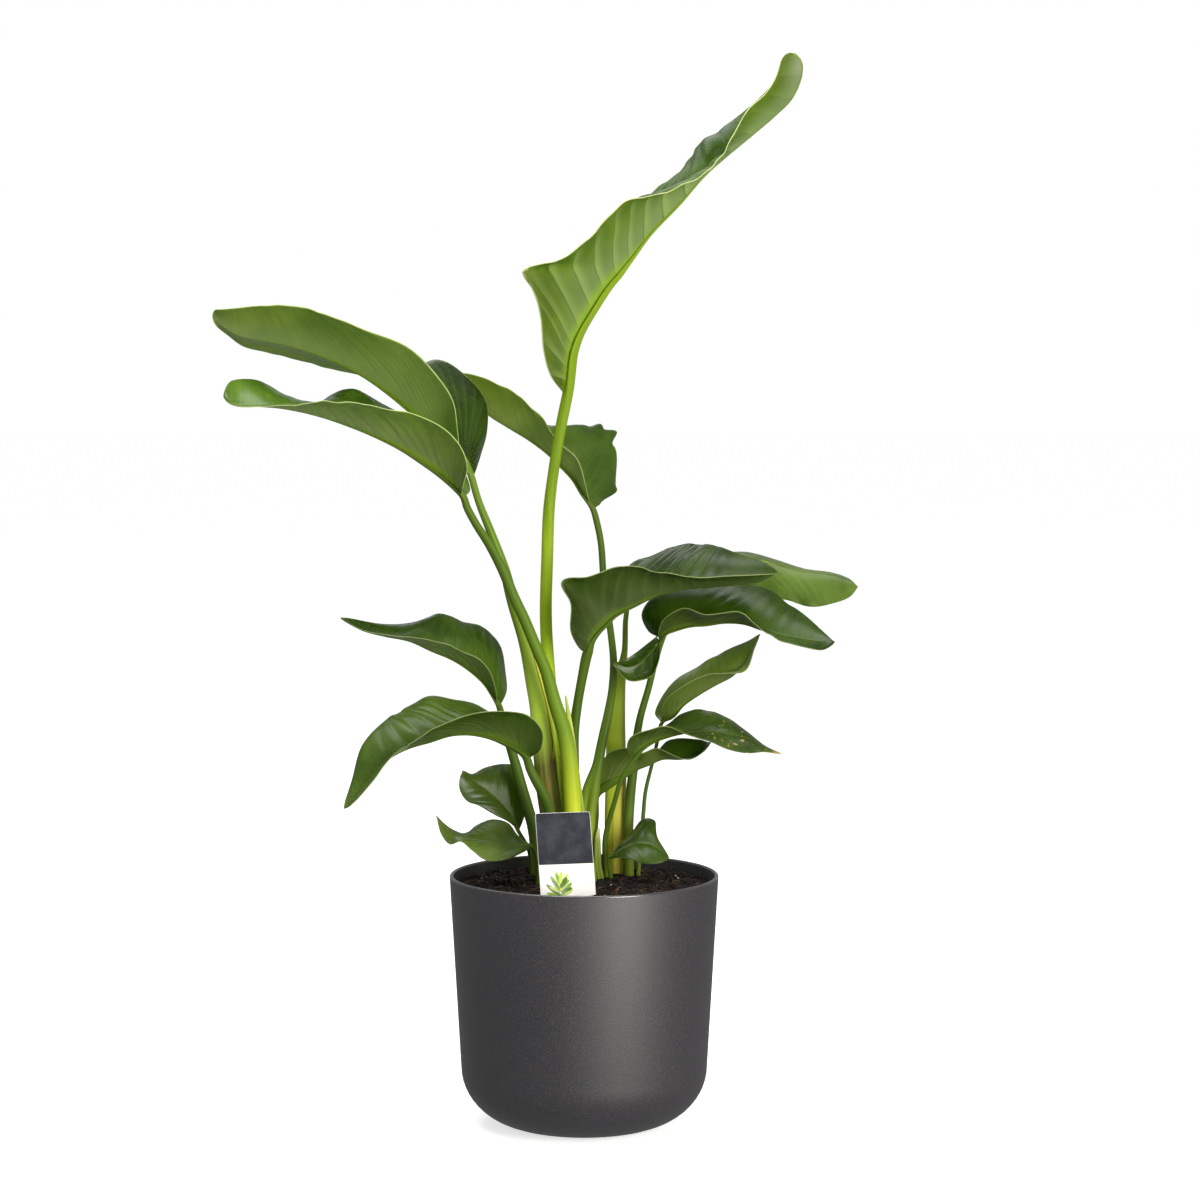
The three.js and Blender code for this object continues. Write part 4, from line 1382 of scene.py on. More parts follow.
LEAVES = (
    Leaf("leaf_tall", (Blade(
        (48, -10), (-48, 66),
        mid=((-13, 600), (-8, 624), (-1, 646), (11, 667), (22, 684), (30, 694), (41, 709), (55, 728),
             (78, 752), (99, 776), (117, 792), (135, 807), (155, 824), (169, 838), (177, 856),
             (178, 873)),
        near=((-16, 598), (-27.5, 614), (-33, 634), (-35, 660), (-42, 683), (-50, 698), (-23, 706),
              (3, 723), (29, 751), (72, 764), (104, 782), (118, 802), (133, 829), (147, 842),
              (156, 856), (162, 878)),
        far=((-11, 601), (-10, 621), (-9, 642), (-3, 665), (7, 686), (13, 702), (23, 721), (37, 746),
             (58, 763), (81, 782), (94, 801), (114, 815), (129, 827), (145, 841), (157, 856),
             (163, 878)),
        bulge=0.05, pleat_width=18, pleat_height=2.6, sweep=0.27, rib_radius=5.2, rib_seat=0.62,
        round_tip=0.032,
    ),), Stalk(
        ((-13, 602, 48, 4.8), (-21, 561, 54, 4.8), (-28, 512, 60, 4.9), (-30, 463, 65, 5.0),
         (-31, 415, 69, 5.1), (-28, 366, 72, 5.3), (-24, 317, 73, 5.6)),
        (-16, 58, 6), channel=-60,
    ), TALL, BRIGHT_STALK, 11),
    Leaf("leaf_upper_left", (Blade(
        (42, 19), (-40, 50),
        mid=((-92, 533), (-98, 545), (-107, 555), (-120, 566), (-137, 579), (-156, 595), (-178, 611),
             (-203, 624), (-229, 634), (-255, 640), (-280, 645), (-293, 652), (-302, 660)),
        near=((-94, 533), (-101, 551), (-103, 569), (-107, 593), (-122, 616), (-143, 636), (-172, 648),
              (-200, 659), (-231, 669), (-262, 670), (-283, 668), (-294, 667), (-303, 667)),
        far=((-89, 533), (-84, 549), (-79, 568), (-80, 592), (-93, 610), (-119, 626), (-154, 611),
             (-194, 616), (-229, 625), (-257, 632), (-277, 637), (-291, 647), (-301, 654)),
        pleat_width=8, pleat_height=0.2, sweep=0.36, ripple=0.25, rib_radius=3.0, round_tip=0.04,
    ),), Stalk(
        ((-92, 533, 42, 3), (-86, 512, 43, 3.1), (-75, 484, 44, 3.8), (-64, 454, 46, 4.6),
         (-58, 431, 48, 5.3), (-47, 397, 50, 6.6), (-40, 364, 50, 7.8), (-36, 344, 50, 8.6),
         (-33, 317, 50, 9.6), (-29, 276, 50, 10)),
        (-20, 34, 9.5), channel=25, sheath=0.64, channel_depth=0.25,
    ), SHADED_LUSH, CLASPING_STALK, 12),
    Leaf("leaf_left", (Blade(
        (8, -12), (-38, 52),
        mid=((-99, 515), (-107, 522), (-119, 532), (-133, 542), (-150, 553), (-170, 563), (-192, 572),
             (-216, 580), (-243, 586), (-265, 588), (-281, 589), (-293, 593)),
        near=((-100, 514), (-98, 525), (-95, 540), (-102, 558), (-120, 574), (-146, 583), (-176, 589),
              (-207, 592), (-237, 589), (-262, 588), (-281, 588), (-293, 592)),
        far=((-96, 515), (-93, 522), (-99, 537), (-113, 551), (-133, 567), (-156, 585), (-189, 602),
             (-221, 591), (-246, 599), (-265, 609), (-281, 610), (-293, 607)),
        pleat_width=11, pleat_height=1.1, sweep=0.3, rib_radius=3.2, round_tip=0.05,
    ),), Stalk(
        ((-98, 515, 8, 3.2), (-95, 506, 10, 3.3), (-88, 493, 13, 3.5), (-77, 476, 15, 3.9),
         (-66, 455, 17, 4.3), (-56, 431, 19, 4.6), (-48, 414, 21, 4.6), (-41, 397, 23, 4.7),
         (-31, 373, 25, 5), (-24, 348, 26, 5.6), (-16, 323, 26, 6.4), (-12, 301, 26, 6.8),
         (-10, 276, 27, 6.8), (-8, 244, 28, 7)),
        (-5, 12, 7), channel=60,
    ), LUSH, LIME_STALK, 13),
    Leaf("leaf_centre", (Blade(
        (96, 95), (-24, 34),
        mid=((7, 506), (-1, 515), (-9, 528), (-18, 538), (-29, 549), (-44, 560), (-62, 571),
             (-79, 582), (-96, 600), (-106, 614)),
        near=((5, 506), (1, 524), (-6, 546), (-18, 557), (-28, 569), (-41, 586), (-60, 601),
              (-81, 611), (-96, 615), (-106, 615)),
        far=((8, 505), (18, 513), (28, 525), (24, 549), (25, 565), (7, 573), (-18, 570),
             (-48, 581), (-81, 598), (-105, 613)),
        pleat_width=10, pleat_height=0.35, ripple=0.8, scallop=1.8, rib_radius=2.8,
    ),), Stalk(
        ((7, 506, 96, 2.8), (11, 492, 94, 2.9), (14, 476, 92, 2.9), (16, 447, 88, 2.9),
         (19, 423, 86, 2.9), (22, 402, 82, 2.9), (24, 381, 76, 3.1), (23, 358, 66, 3.4),
         (20, 340, 58, 3.7), (15, 317, 52, 4), (11, 296, 48, 4.5), (6, 277, 46, 7.2),
         (3, 259, 46, 7.2), (2, 232, 46, 6.6)),
        (1, 30, 6.3), channel=-110, channel_depth=0.4,
    ), CLEAR, FRESH_STALK, 14),
    Leaf("leaf_right_top", (Blade(
        (40, 19), (-40, 48),
        mid=((3, 388), (8, 397), (13, 404), (19, 410), (26, 417), (41, 425), (60, 434), (81, 439),
             (104, 441), (127, 443), (145, 446), (158, 454)),
        near=((2, 387), (-5, 393), (-11, 406), (-11, 428), (-18, 445), (3, 450), (31, 458), (58, 454),
              (88, 449), (115, 450), (139, 451), (157, 452)),
        far=((5, 389), (13, 405), (18, 421), (24, 437), (37, 458), (55, 467), (74, 474), (94, 476),
             (112, 473), (129, 467), (145, 462), (158, 454)),
        pleat_width=10, pleat_height=0.9, rib_radius=3.2,
    ),), Stalk(
        ((3, 389, 40, 4.6), (-1, 371, 45, 4.3), (-5, 349, 50, 4.1), (-8, 323, 54, 4.1),
         (-8, 293, 57, 4.3), (-7, 259, 60, 4.5), (-5, 232, 62, 4.6)),
        (-2, 48, 4.8), channel=-90,
    ), OLIVE, DEEP_STALK, 15),
    Leaf("leaf_far_right", (Blade(
        (118, 74), (-12, 40),
        mid=((46, 441), (59, 447), (78, 455), (102, 462), (127, 465), (151, 461), (174, 454),
             (197, 451), (212, 447), (223, 441)),
        near=((45, 439), (55, 436), (75, 431), (104, 431), (135, 431), (162, 431), (185, 425),
              (203, 428), (216, 433), (223, 441)),
        far=((46, 442), (62, 454), (86, 461), (112, 467), (135, 468), (158, 461), (181, 454),
             (202, 452), (215, 448), (222, 442)),
        bulge=0.08, pleat_width=10, pleat_height=0.15, rib_radius=2.0,
    ),), Stalk(
        ((46, 441, 118, 2.2), (37, 431, 112, 2.2), (34, 416, 106, 2.2), (33, 389, 98, 2.5),
         (29, 366, 90, 5.2), (27, 340, 84, 6.8), (26, 313, 80, 8.2), (26, 284, 78, 8.8),
         (25, 252, 74, 8.6)),
        (26, 57, 8.4), channel=-95, sheath=0.75, channel_depth=0.12,
    ), PALE, AMBER_STALK, 16),
    Leaf("leaf_right", (
        Blade(
            (50, 29), (-30, 34),
            mid=((63, 399), (67, 403), (75, 406), (86, 409), (99, 410), (114, 412), (130, 411),
                 (145, 406), (161, 402), (177, 399), (192, 397), (204, 397)),
            near=((61, 398), (61, 406), (65, 415), (81, 424), (98, 419), (114, 420), (130, 419),
                  (146, 405), (162, 397), (180, 392), (194, 390), (204, 395)),
            far=((61, 400), (52, 406), (47, 419), (55, 432), (78, 441), (104, 445), (129, 445),
                 (150, 439), (167, 427), (181, 417), (192, 407), (203, 397)),
            pleat_width=11, pleat_height=0.45, sweep=0.34, rib_radius=2.6,
        ),
        Blade(
            (49, 36), (-6, 4),
            mid=((62, 397), (55, 389), (46, 380), (36, 376), (24, 379)),
            near=((62, 394), (61, 382), (54, 368), (37, 365), (24, 377)),
            far=((59, 401), (50, 394), (41, 387), (31, 381), (24, 380)),
            bulge=-0.12, pleat_width=8, pleat_height=0.4, rib_radius=0.5,
        ),
    ), Stalk(
        ((63, 398, 50, 2.8), (57, 378, 54, 2.9), (52, 358, 57, 3), (46, 337, 60, 3.2),
         (43, 321, 62, 3.5), (41, 301, 64, 3.9), (38, 276, 65, 4.2), (36, 244, 64, 4.3)),
        (37, 46, 4.4), channel=150,
    ), DEEP, DEEP_STALK, 17),
    Leaf("leaf_right_small", (Blade(
        (58, 43), (-14, 26),
        mid=((64, 332), (72, 335), (81, 345), (94, 354), (108, 362), (121, 369), (130, 379),
             (137, 391), (143, 403)),
        near=((63, 332), (63, 341), (68, 351), (81, 361), (97, 369), (112, 371), (131, 373),
              (139, 392), (143, 402)),
        far=((62, 332), (58, 339), (65, 354), (75, 366), (92, 376), (107, 385), (121, 392),
             (133, 397), (143, 403)),
        pleat_width=8, pleat_height=0.4, ripple=0.4, rib_radius=1.6,
    ),), Stalk(
        ((64, 332, 58, 1.7), (59, 313, 63, 1.6), (55, 296, 67, 1.6), (50, 275, 70, 1.7),
         (48, 254, 70, 1.8), (46, 232, 69, 1.8)),
        (45, 54, 2), channel=150,
    ), PAINTED_LIGHT_DEEP, DEEP_STALK, 18),
    Leaf("leaf_right_low", (Blade(
        (24, 10), (-16, 28),
        mid=((42, 303), (48, 309), (57, 315), (68, 319), (80, 322), (93, 324), (107, 323),
             (121, 321), (134, 318), (148, 310), (160, 306)),
        near=((40, 301), (35, 310), (38, 319), (53, 325), (67, 328), (83, 321), (101, 316),
              (117, 309), (133, 306), (147, 307), (160, 305)),
        far=((44, 304), (49, 314), (57, 323), (69, 330), (79, 338), (92, 341), (104, 340),
             (119, 333), (132, 324), (147, 312), (160, 306)),
        pleat_width=8, pleat_height=0.4, ripple=0.4, rib_radius=1.9,
    ),), Stalk(
        ((42, 303, 24, 2), (37, 296, 26, 2), (30, 284, 29, 2), (25, 267, 34, 2.1),
         (20, 250, 40, 2.2), (17, 234, 46, 2.3)),
        (18, 36, 2.4), channel=140,
    ), SPOTTED, DEEP_STALK, 19),
    Leaf("leaf_right_behind", (Blade(
        (58, 34), (-14, 20),
        mid=((11, 274), (20, 280), (29, 285), (41, 292), (52, 296), (64, 301), (78, 301),
             (90, 303), (98, 309), (103, 315)),
        near=((11, 275, 58), (13, 294, 56), (20, 306, 52), (35, 310, 43), (46, 306, 36),
              (59, 310, 32), (73, 304, 29), (86, 301, 28), (97, 307, 30), (103, 314, 33)),
        far=((12, 273, 59), (23, 281, 60), (34, 291, 61), (47, 301, 58), (59, 307, 57),
             (68, 316, 55), (81, 318, 52), (94, 317, 47), (101, 315, 40), (103, 315, 34)),
        pleat_width=8, pleat_height=0.4, ripple=0.3, rib_radius=1.9,
    ),), Stalk(
        ((11, 273, 58, 2.2), (10, 256, 60, 2.3), (9, 236, 60, 2.4)),
        (12, 44, 2.5), channel=100,
    ), MILD, DEEP_STALK, 20),
    Leaf("leaf_left_mid", (Blade(
        (30, 3), (-22, 40),
        mid=((-70, 345), (-75, 353), (-81, 362), (-93, 373), (-107, 382), (-124, 389), (-142, 397),
             (-162, 401), (-181, 406), (-198, 416)),
        near=((-71, 345), (-72, 358), (-77, 373), (-86, 383), (-102, 390), (-120, 397),
              (-140, 400), (-159, 402), (-180, 406), (-198, 415)),
        far=((-68, 345), (-63, 358), (-64, 372), (-68, 393), (-79, 406), (-98, 413), (-117, 419),
             (-140, 412), (-164, 411), (-197, 417)),
        bulge=0.07, pleat_width=9, pleat_height=0.6, ripple=0.5, rib_radius=2.4,
    ),), Stalk(
        ((-69, 345, 32, 2.8), (-66, 332, 38, 3.2), (-61, 315, 43, 3.8), (-56, 299, 46, 4.4),
         (-51, 280, 48, 4.8), (-46, 263, 50, 4.9), (-41, 244, 51, 5)),
        (-39, 36, 5), channel=30,
    ), MILD, DEEP_STALK, 21),
    Leaf("leaf_left_low", (Blade(
        (6, -24), (-28, 30),
        mid=((-46, 303), (-54, 307), (-65, 313), (-77, 318), (-93, 321), (-109, 320), (-125, 315),
             (-142, 310), (-159, 301), (-173, 286), (-185, 271), (-195, 261)),
        near=((-43, 303), (-35, 310), (-34, 324), (-46, 337), (-71, 340), (-96, 336), (-119, 328),
              (-138, 315), (-158, 301), (-172, 283), (-185, 268), (-194, 260)),
        far=((-49, 304), (-55, 314), (-64, 328), (-75, 338), (-89, 346), (-105, 349), (-124, 353),
             (-142, 344), (-162, 332), (-180, 313), (-189, 283), (-196, 262)),
        bulge=0.07, pleat_width=11, pleat_height=0.9, sweep=0.4, rib_radius=2.8,
    ),), Stalk(
        ((-47, 303, 6, 3.4), (-44, 294, 8, 3.8), (-39, 284, 10, 4.2), (-34, 275, 13, 4.4),
         (-29, 262, 17, 4.5), (-25, 244, 21, 4.6)),
        (-23, 10, 5), channel=40,
    ), BRIGHT, DEEP_STALK, 22),
    Leaf("leaf_low_left", (Blade(
        (58, 46), (-10, 16),
        mid=((-54, 244), (-57, 252), (-63, 260), (-70, 268), (-78, 275), (-87, 281), (-94, 286),
             (-99, 292)),
        near=((-55, 245), (-63, 251), (-73, 256), (-85, 263), (-95, 267), (-101, 276), (-101, 286),
              (-99, 291)),
        far=((-52, 245), (-48, 258), (-48, 275), (-54, 294), (-68, 297), (-81, 294), (-91, 289),
             (-98, 292)),
        bulge=0.08, pleat_width=7, pleat_height=0.4, ripple=0.3, rib_radius=1.4,
    ),), Stalk(((-54, 244, 58, 1.6), (-50, 237, 58, 1.7), (-45, 228, 60, 1.8)), (-44, 46, 2), channel=20),
    WORN, DEEP_STALK, 23),
    Leaf("leaf_bottom_left", (Blade(
        (10, -4), (-14, 24),
        mid=((-43, 231), (-52, 232), (-63, 233), (-76, 235), (-89, 236), (-99, 238), (-107, 240),
             (-115, 247), (-120, 255)),
        near=((-43, 229), (-54, 223), (-66, 219), (-80, 219), (-91, 227), (-100, 234), (-109, 232),
              (-116, 240), (-120, 254)),
        far=((-44, 232), (-54, 239), (-62, 249), (-75, 252), (-88, 247), (-97, 240), (-107, 244),
             (-114, 249), (-120, 255)),
        bulge=0.08, pleat_width=7, pleat_height=0.4, ripple=0.3, rib_radius=1.3,
    ),), Stalk(((-43, 231, 10, 1.6), (-40, 226, 14, 1.7), (-38, 218, 18, 1.8)), (-38, 7, 2), channel=30),
    FADED, DEEP_STALK, 24),
    Leaf("leaf_bottom_right", (Blade(
        (34, 16), (-14, 24),
        mid=((21, 222), (28, 227), (37, 232), (46, 233), (54, 232), (62, 227), (69, 221)),
        near=((20, 220), (28, 221), (37, 220), (46, 217), (54, 216), (63, 217), (69, 220)),
        far=((23, 223), (29, 231), (38, 240), (47, 252), (57, 251), (59, 239), (69, 222)),
        bulge=0.08, pleat_width=7, pleat_height=0.4, ripple=0.3, rib_radius=1.3,
    ),), Stalk(((21, 222, 34, 1.6), (20, 216, 36, 1.8)), (22, 22, 2), channel=160),
    DEEP, DEEP_STALK, 25),
)


@dataclass(frozen=True)
class Sheath:
    """A bare pointed sheath with no blade."""

    node: str
    stalk: Stalk
    finish: StalkFinish

    def build(self) -> Piece:
        """The sheath as one piece.

        Returns:
            The piece.
        """
        piece = self.stalk.build(f"{self.node}_spear", None)
        piece.data.materials.append(self.finish.material())
        return finish_piece(piece, self.node)


SHEATHS = (
    Sheath(
        "sheath_stub",
        Stalk(
            ((12, 245, 40, 0.8), (11, 237, 40, 2.6), (11, 223, 40, 3), (11, 215, 41, 3.2)),
            (13, 25, 3.2), channel=-90, sheath=1.0,
        ),
        StalkFinish(
            "stub", low=shade(96, 116, 36), middle=shade(106, 128, 40), high=shade(118, 134, 50),
            rib=shade(240, 232, 190),
        ),
    ),
    Sheath(
        "sheath_tip",
        Stalk(
            ((-15, 353, 34, 0.5), (-13, 340, 34, 1.8), (-11, 325, 35, 2.6), (-9, 309, 37, 3),
             (-6, 284, 37, 3.2), (-1, 250, 36, 3.2)),
            (7, 16, 3.2), channel=-90, sheath=1.0,
        ),
        StalkFinish("spear", low=shade(120, 146, 40), middle=shade(130, 160, 44), high=shade(188, 198, 96)),
    ),
)


# Pot and soil


@dataclass(frozen=True)
class PotOutline:
    """The pot's outline in mm: a flat underside, a round corner and a straight flaring wall."""

    height: float = 206.0
    radius: float = 110.0
    low_radius: float = 101.0
    wall: float = 3.2
    corner_reach: float = 54.0
    corner_rise: float = 48.0
    corner_steps: int = 14
    rim_steps: int = 8

    def wall_radius(self, height: float) -> float:
        """The outer radius of the straight wall at a height."""
        share = (height - self.corner_rise) / (self.height - self.corner_rise)
        return self.low_radius + (self.radius - self.low_radius) * share

    def corner(self, inset: float) -> list[tuple[float, float]]:
        """The round corner from the underside up, set in by a distance.

        Args:
            inset: How far the corner is set in.

        Returns:
            Radii and heights.
        """
        centre = self.low_radius - self.corner_reach
        turns = (math.pi / 2 * step / self.corner_steps for step in range(self.corner_steps + 1))
        return [
            (
                centre + (self.corner_reach - inset) * math.sin(turn),
                self.corner_rise - (self.corner_rise - inset) * math.cos(turn),
            )
            for turn in turns
        ]

    def rings(self) -> list[tuple[float, float]]:
        """The outline from the underside's edge, over the rim and down to the inner floor.

        Returns:
            Radii and heights.
        """
        lip = self.wall / 2
        turns = (math.pi * step / self.rim_steps for step in range(self.rim_steps + 1))
        rim = [
            (self.radius - lip + lip * math.cos(turn), self.height - lip + lip * math.sin(turn))
            for turn in turns
        ]
        return [*self.corner(0), *rim, *reversed(self.corner(self.wall))]


@dataclass(frozen=True)
class PotFinish:
    """Satin anthracite with a fine grain."""

    dark: Colour = shade(19, 18, 27)
    light: Colour = shade(25, 24, 32)
    fleck: Colour = shade(92, 86, 80)
    # The rim's lighter tone is a painted highlight along the rim.
    worn: Colour = shade(48, 46, 47)

    def body(self) -> Material:
        """The material of the wall.

        Returns:
            The material.
        """
        recipe = Recipe("pot_satin", 0.5, 0.95)
        place = recipe.place()
        grain = recipe.noise(place, 1200, 2, 0.5)
        cloud = recipe.noise(place, 9, 2)
        colour = recipe.blend(recipe.rescale(cloud, 0.3, 0.7), self.dark, self.light)
        recipe.colour(recipe.blend(recipe.rescale(grain, 0.45, 0.75, 0, 0.4), colour, self.fleck))
        recipe.roughness(recipe.rescale(grain, 0.3, 0.7, 0.5, 0.6))
        recipe.bump(grain, 0.7, 0.2)
        return recipe.material

    def rim(self) -> Material:
        """The material of the rim, which is smoother than the wall and has a lighter tone painted on as a
        highlight line.

        Returns:
            The material.
        """
        recipe = Recipe("pot_rim", 0.22, 0.95)
        grain = recipe.noise(recipe.place(), 700, 2)
        # The lighter tone is a painted highlight line.
        recipe.colour(recipe.blend(recipe.rescale(grain, 0.4, 0.7, 0, 0.3), self.worn, self.fleck))
        recipe.bump(grain, 0.3, 0.1)
        return recipe.material


@dataclass(frozen=True)
class Pot:
    """The round pot, extruded ring by ring from a disc."""

    outline: PotOutline = PotOutline()
    finish: PotFinish = PotFinish()
    sides: int = 128
    smooth_below: float = 40.0

    def build(self) -> Piece:
        """The pot as one piece.

        Returns:
            The piece.
        """
        rings = self.outline.rings()
        radius, height = rings[0]
        bpy.ops.mesh.primitive_circle_add(
            vertices=self.sides, radius=radius * MM, fill_type="NGON", location=(0, 0, height * MM),
        )
        piece = new_piece("pot_body")
        settle(piece)
        edit(piece)
        draw_rings(rings)
        bpy.ops.mesh.select_all(action="SELECT")
        bpy.ops.mesh.normals_make_consistent(inside=False)
        leave_edit()
        bpy.ops.object.shade_smooth_by_angle(angle=math.radians(self.smooth_below))
        piece.data.materials.append(self.finish.body())
        piece.data.materials.append(self.finish.rim())
        rim_foot = (self.outline.height - self.outline.wall / 2) * MM
        for face in piece.data.polygons:
            face.material_index = int(face.center.z > rim_foot)
        return finish_piece(piece, "pot")


def draw_rings(rings: list[tuple[float, float]]) -> None:
    """Extrudes the selected disc or edge loop through rings, and scales it to each one.

    Args:
        rings: Radii and heights in mm, the first where the selection stands.
    """
    radius, height = rings[0]
    for next_radius, next_height in rings[1:]:
        rise = (next_height - height) * MM
        bpy.ops.mesh.extrude_region_move(TRANSFORM_OT_translate={"value": (0, 0, rise)})
        share = next_radius / radius
        bpy.ops.transform.resize(value=(share, share, 1), center_override=(0, 0, next_height * MM))
        radius, height = next_radius, next_height


@dataclass(frozen=True)
class SoilFinish:
    """Dark moist potting soil, and the fibres and grains on it."""

    dark: Colour = shade(9, 6, 5)
    brown: Colour = shade(33, 23, 18)
    fibre: Colour = shade(108, 80, 58)
    grain: Colour = shade(206, 198, 184)

    def bed(self) -> Material:
        """The soil's own material.

        Returns:
            The material.
        """
        recipe = Recipe("soil_bed", 0.92, 0.25)
        place = recipe.place()
        lumps = recipe.noise(place, 160, 5, 0.65)
        specks = recipe.noise(place, 900, 3, 0.6)
        colour = recipe.blend(recipe.rescale(lumps, 0.35, 0.7), self.dark, self.brown)
        recipe.colour(recipe.blend(recipe.rescale(specks, 0.6, 0.75, 0, 0.6), colour, self.fibre))
        recipe.bump(specks, 0.8, 0.6)
        return recipe.material

    def scrap(self, name: str, colour: Colour, rough: float) -> Material:
        """The material of crumbs, fibres or grains.

        Args:
            name: The material's name.
            colour: Their colour.
            rough: Their roughness.

        Returns:
            The material.
        """
        recipe = Recipe(name, rough, 0.3)
        place = recipe.place()
        tone = recipe.noise(place, 220, 3)
        recipe.colour(recipe.blend(recipe.rescale(tone, 0.35, 0.7, 0, 0.8), colour, self.dark))
        recipe.bump(recipe.noise(place, 1600, 2), 0.5, 0.2)
        return recipe.material


@dataclass(frozen=True)
class Scraps:
    """Rough lumps that lie on the soil, with sizes in mm.

    A size is smallest plus a share of spread that is rarely high where skew is large. The roughness
    and stretch are the least factor and what chance adds to it.
    """

    name: str
    count: int
    reach: float
    smallest: float
    spread: float
    skew: int
    roughness: tuple[float, float]
    raised: float
    stretch: tuple[float, float] | None = None

    def lump(self) -> tuple[np.ndarray, np.ndarray]:
        """The lump that the scraps are copied from, a ball of radius 1.

        Returns:
            Its vertices and its triangles.
        """
        bpy.ops.mesh.primitive_ico_sphere_add(subdivisions=2, radius=1)
        ball = bpy.context.active_object
        vertices = np.array([vertex.co for vertex in ball.data.vertices])
        faces = np.array([list(face.vertices) for face in ball.data.polygons])
        bpy.data.objects.remove(ball)
        return vertices, faces

    def build(self, ground: "Soil", draw: random.Random, colour: Material) -> Piece:
        """The scraps as one piece.

        Args:
            ground: The soil that they lie on.
            draw: The source of their places and sizes.
            colour: Their material.

        Returns:
            The piece.
        """
        vertices, faces = self.lump()
        shapes = []
        for _ in range(self.count):
            x, y = ground.spot(draw, self.reach)
            size = self.smallest + self.spread * draw.random() ** self.skew
            factor = np.ones(3)
            if self.stretch:
                factor = np.array([self.stretch[0] + self.stretch[1] * draw.random() for _ in range(3)])
            rough = np.array([self.roughness[0] + self.roughness[1] * draw.random() for _ in vertices])
            ball = vertices * factor * rough[:, None] * size
            shapes.append(ball + np.array((x, y, ground.level(x, y) + self.raised * size)))
        return copies(self.name, shapes, faces, colour)


@dataclass(frozen=True)
class Fibres:
    """Thin bent four-sided rods that lie on the soil, with sizes in mm.

    The length, thickness and lift are the least value and what chance adds to it.
    """

    count: int = 220
    reach: float = 0.93
    rings: int = 6
    corners: int = 4
    length: tuple[float, float] = (5, 13)
    bend: float = 1.4
    thickness: tuple[float, float] = (0.16, 0.3)
    lift: float = 1.6
    clear: float = 0.4
    edge_share: float = 0.96

    def faces(self) -> np.ndarray:
        """The faces of one rod.

        Returns:
            The corners of each face, by ring and then by corner.
        """
        faces = []
        for ring in range(self.rings - 1):
            for corner in range(self.corners):
                a = ring * self.corners + corner
                b = ring * self.corners + (corner + 1) % self.corners
                faces.append((a, b, b + self.corners, a + self.corners))
        last = (self.rings - 1) * self.corners
        end = range(self.corners)
        return np.array([*faces, tuple(reversed(end)), tuple(last + corner for corner in end)])

    def rod(self, ground: "Soil", draw: random.Random) -> np.ndarray:
        """The vertices of one rod.

        Args:
            ground: The soil that it lies on.
            draw: The source of its place, length and bend.

        Returns:
            The vertices in mm.
        """
        x, y = ground.spot(draw, self.reach)
        turn = draw.random() * math.tau
        length = self.length[0] + self.length[1] * draw.random()
        bend = (draw.random() - 0.5) * self.bend
        thick = self.thickness[0] + self.thickness[1] * draw.random()
        lift = draw.random() * self.lift
        vertices = []
        for ring in range(self.rings):
            share = ring / (self.rings - 1)
            heading = turn + bend * share
            px = x + length * (share - 0.5) * math.cos(heading)
            py = y + length * (share - 0.5) * math.sin(heading)
            inside = min(1, ground.edge() * self.edge_share / max(math.hypot(px, py), 1))
            px, py = px * inside, py * inside
            pz = ground.level(px, py) + self.clear + lift * math.sin(math.pi * share)
            for corner in range(self.corners):
                angle = math.tau * corner / self.corners
                vertices.append((
                    px - math.sin(heading) * thick * math.cos(angle),
                    py + math.cos(heading) * thick * math.cos(angle),
                    pz + thick * math.sin(angle),
                ))
        return np.array(vertices)

    def build(self, ground: "Soil", draw: random.Random, colour: Material) -> Piece:
        """The fibres as one piece, on the ground at places that chance draws."""
        rods = [self.rod(ground, draw) for _ in range(self.count)]
        return copies("soil_fibres", rods, self.faces(), colour)


def copies(name: str, shapes: list[np.ndarray], faces: np.ndarray, colour: Material) -> Piece:
    """Many small copies of one mesh as a single piece.

    Args:
        name: The piece's name.
        shapes: The vertices of each copy in mm.
        faces: The faces of one copy.
        colour: The material.

    Returns:
        The piece.
    """
    size = len(shapes[0])
    corners = np.concatenate([faces + size * index for index in range(len(shapes))])
    mesh = bpy.data.meshes.new(name)
    mesh.from_pydata((np.concatenate(shapes) * MM).tolist(), [], corners.tolist())
    piece = bpy.data.objects.new(name, mesh)
    bpy.context.scene.collection.objects.link(piece)
    mesh.materials.append(colour)
    select_only(piece)
    return piece


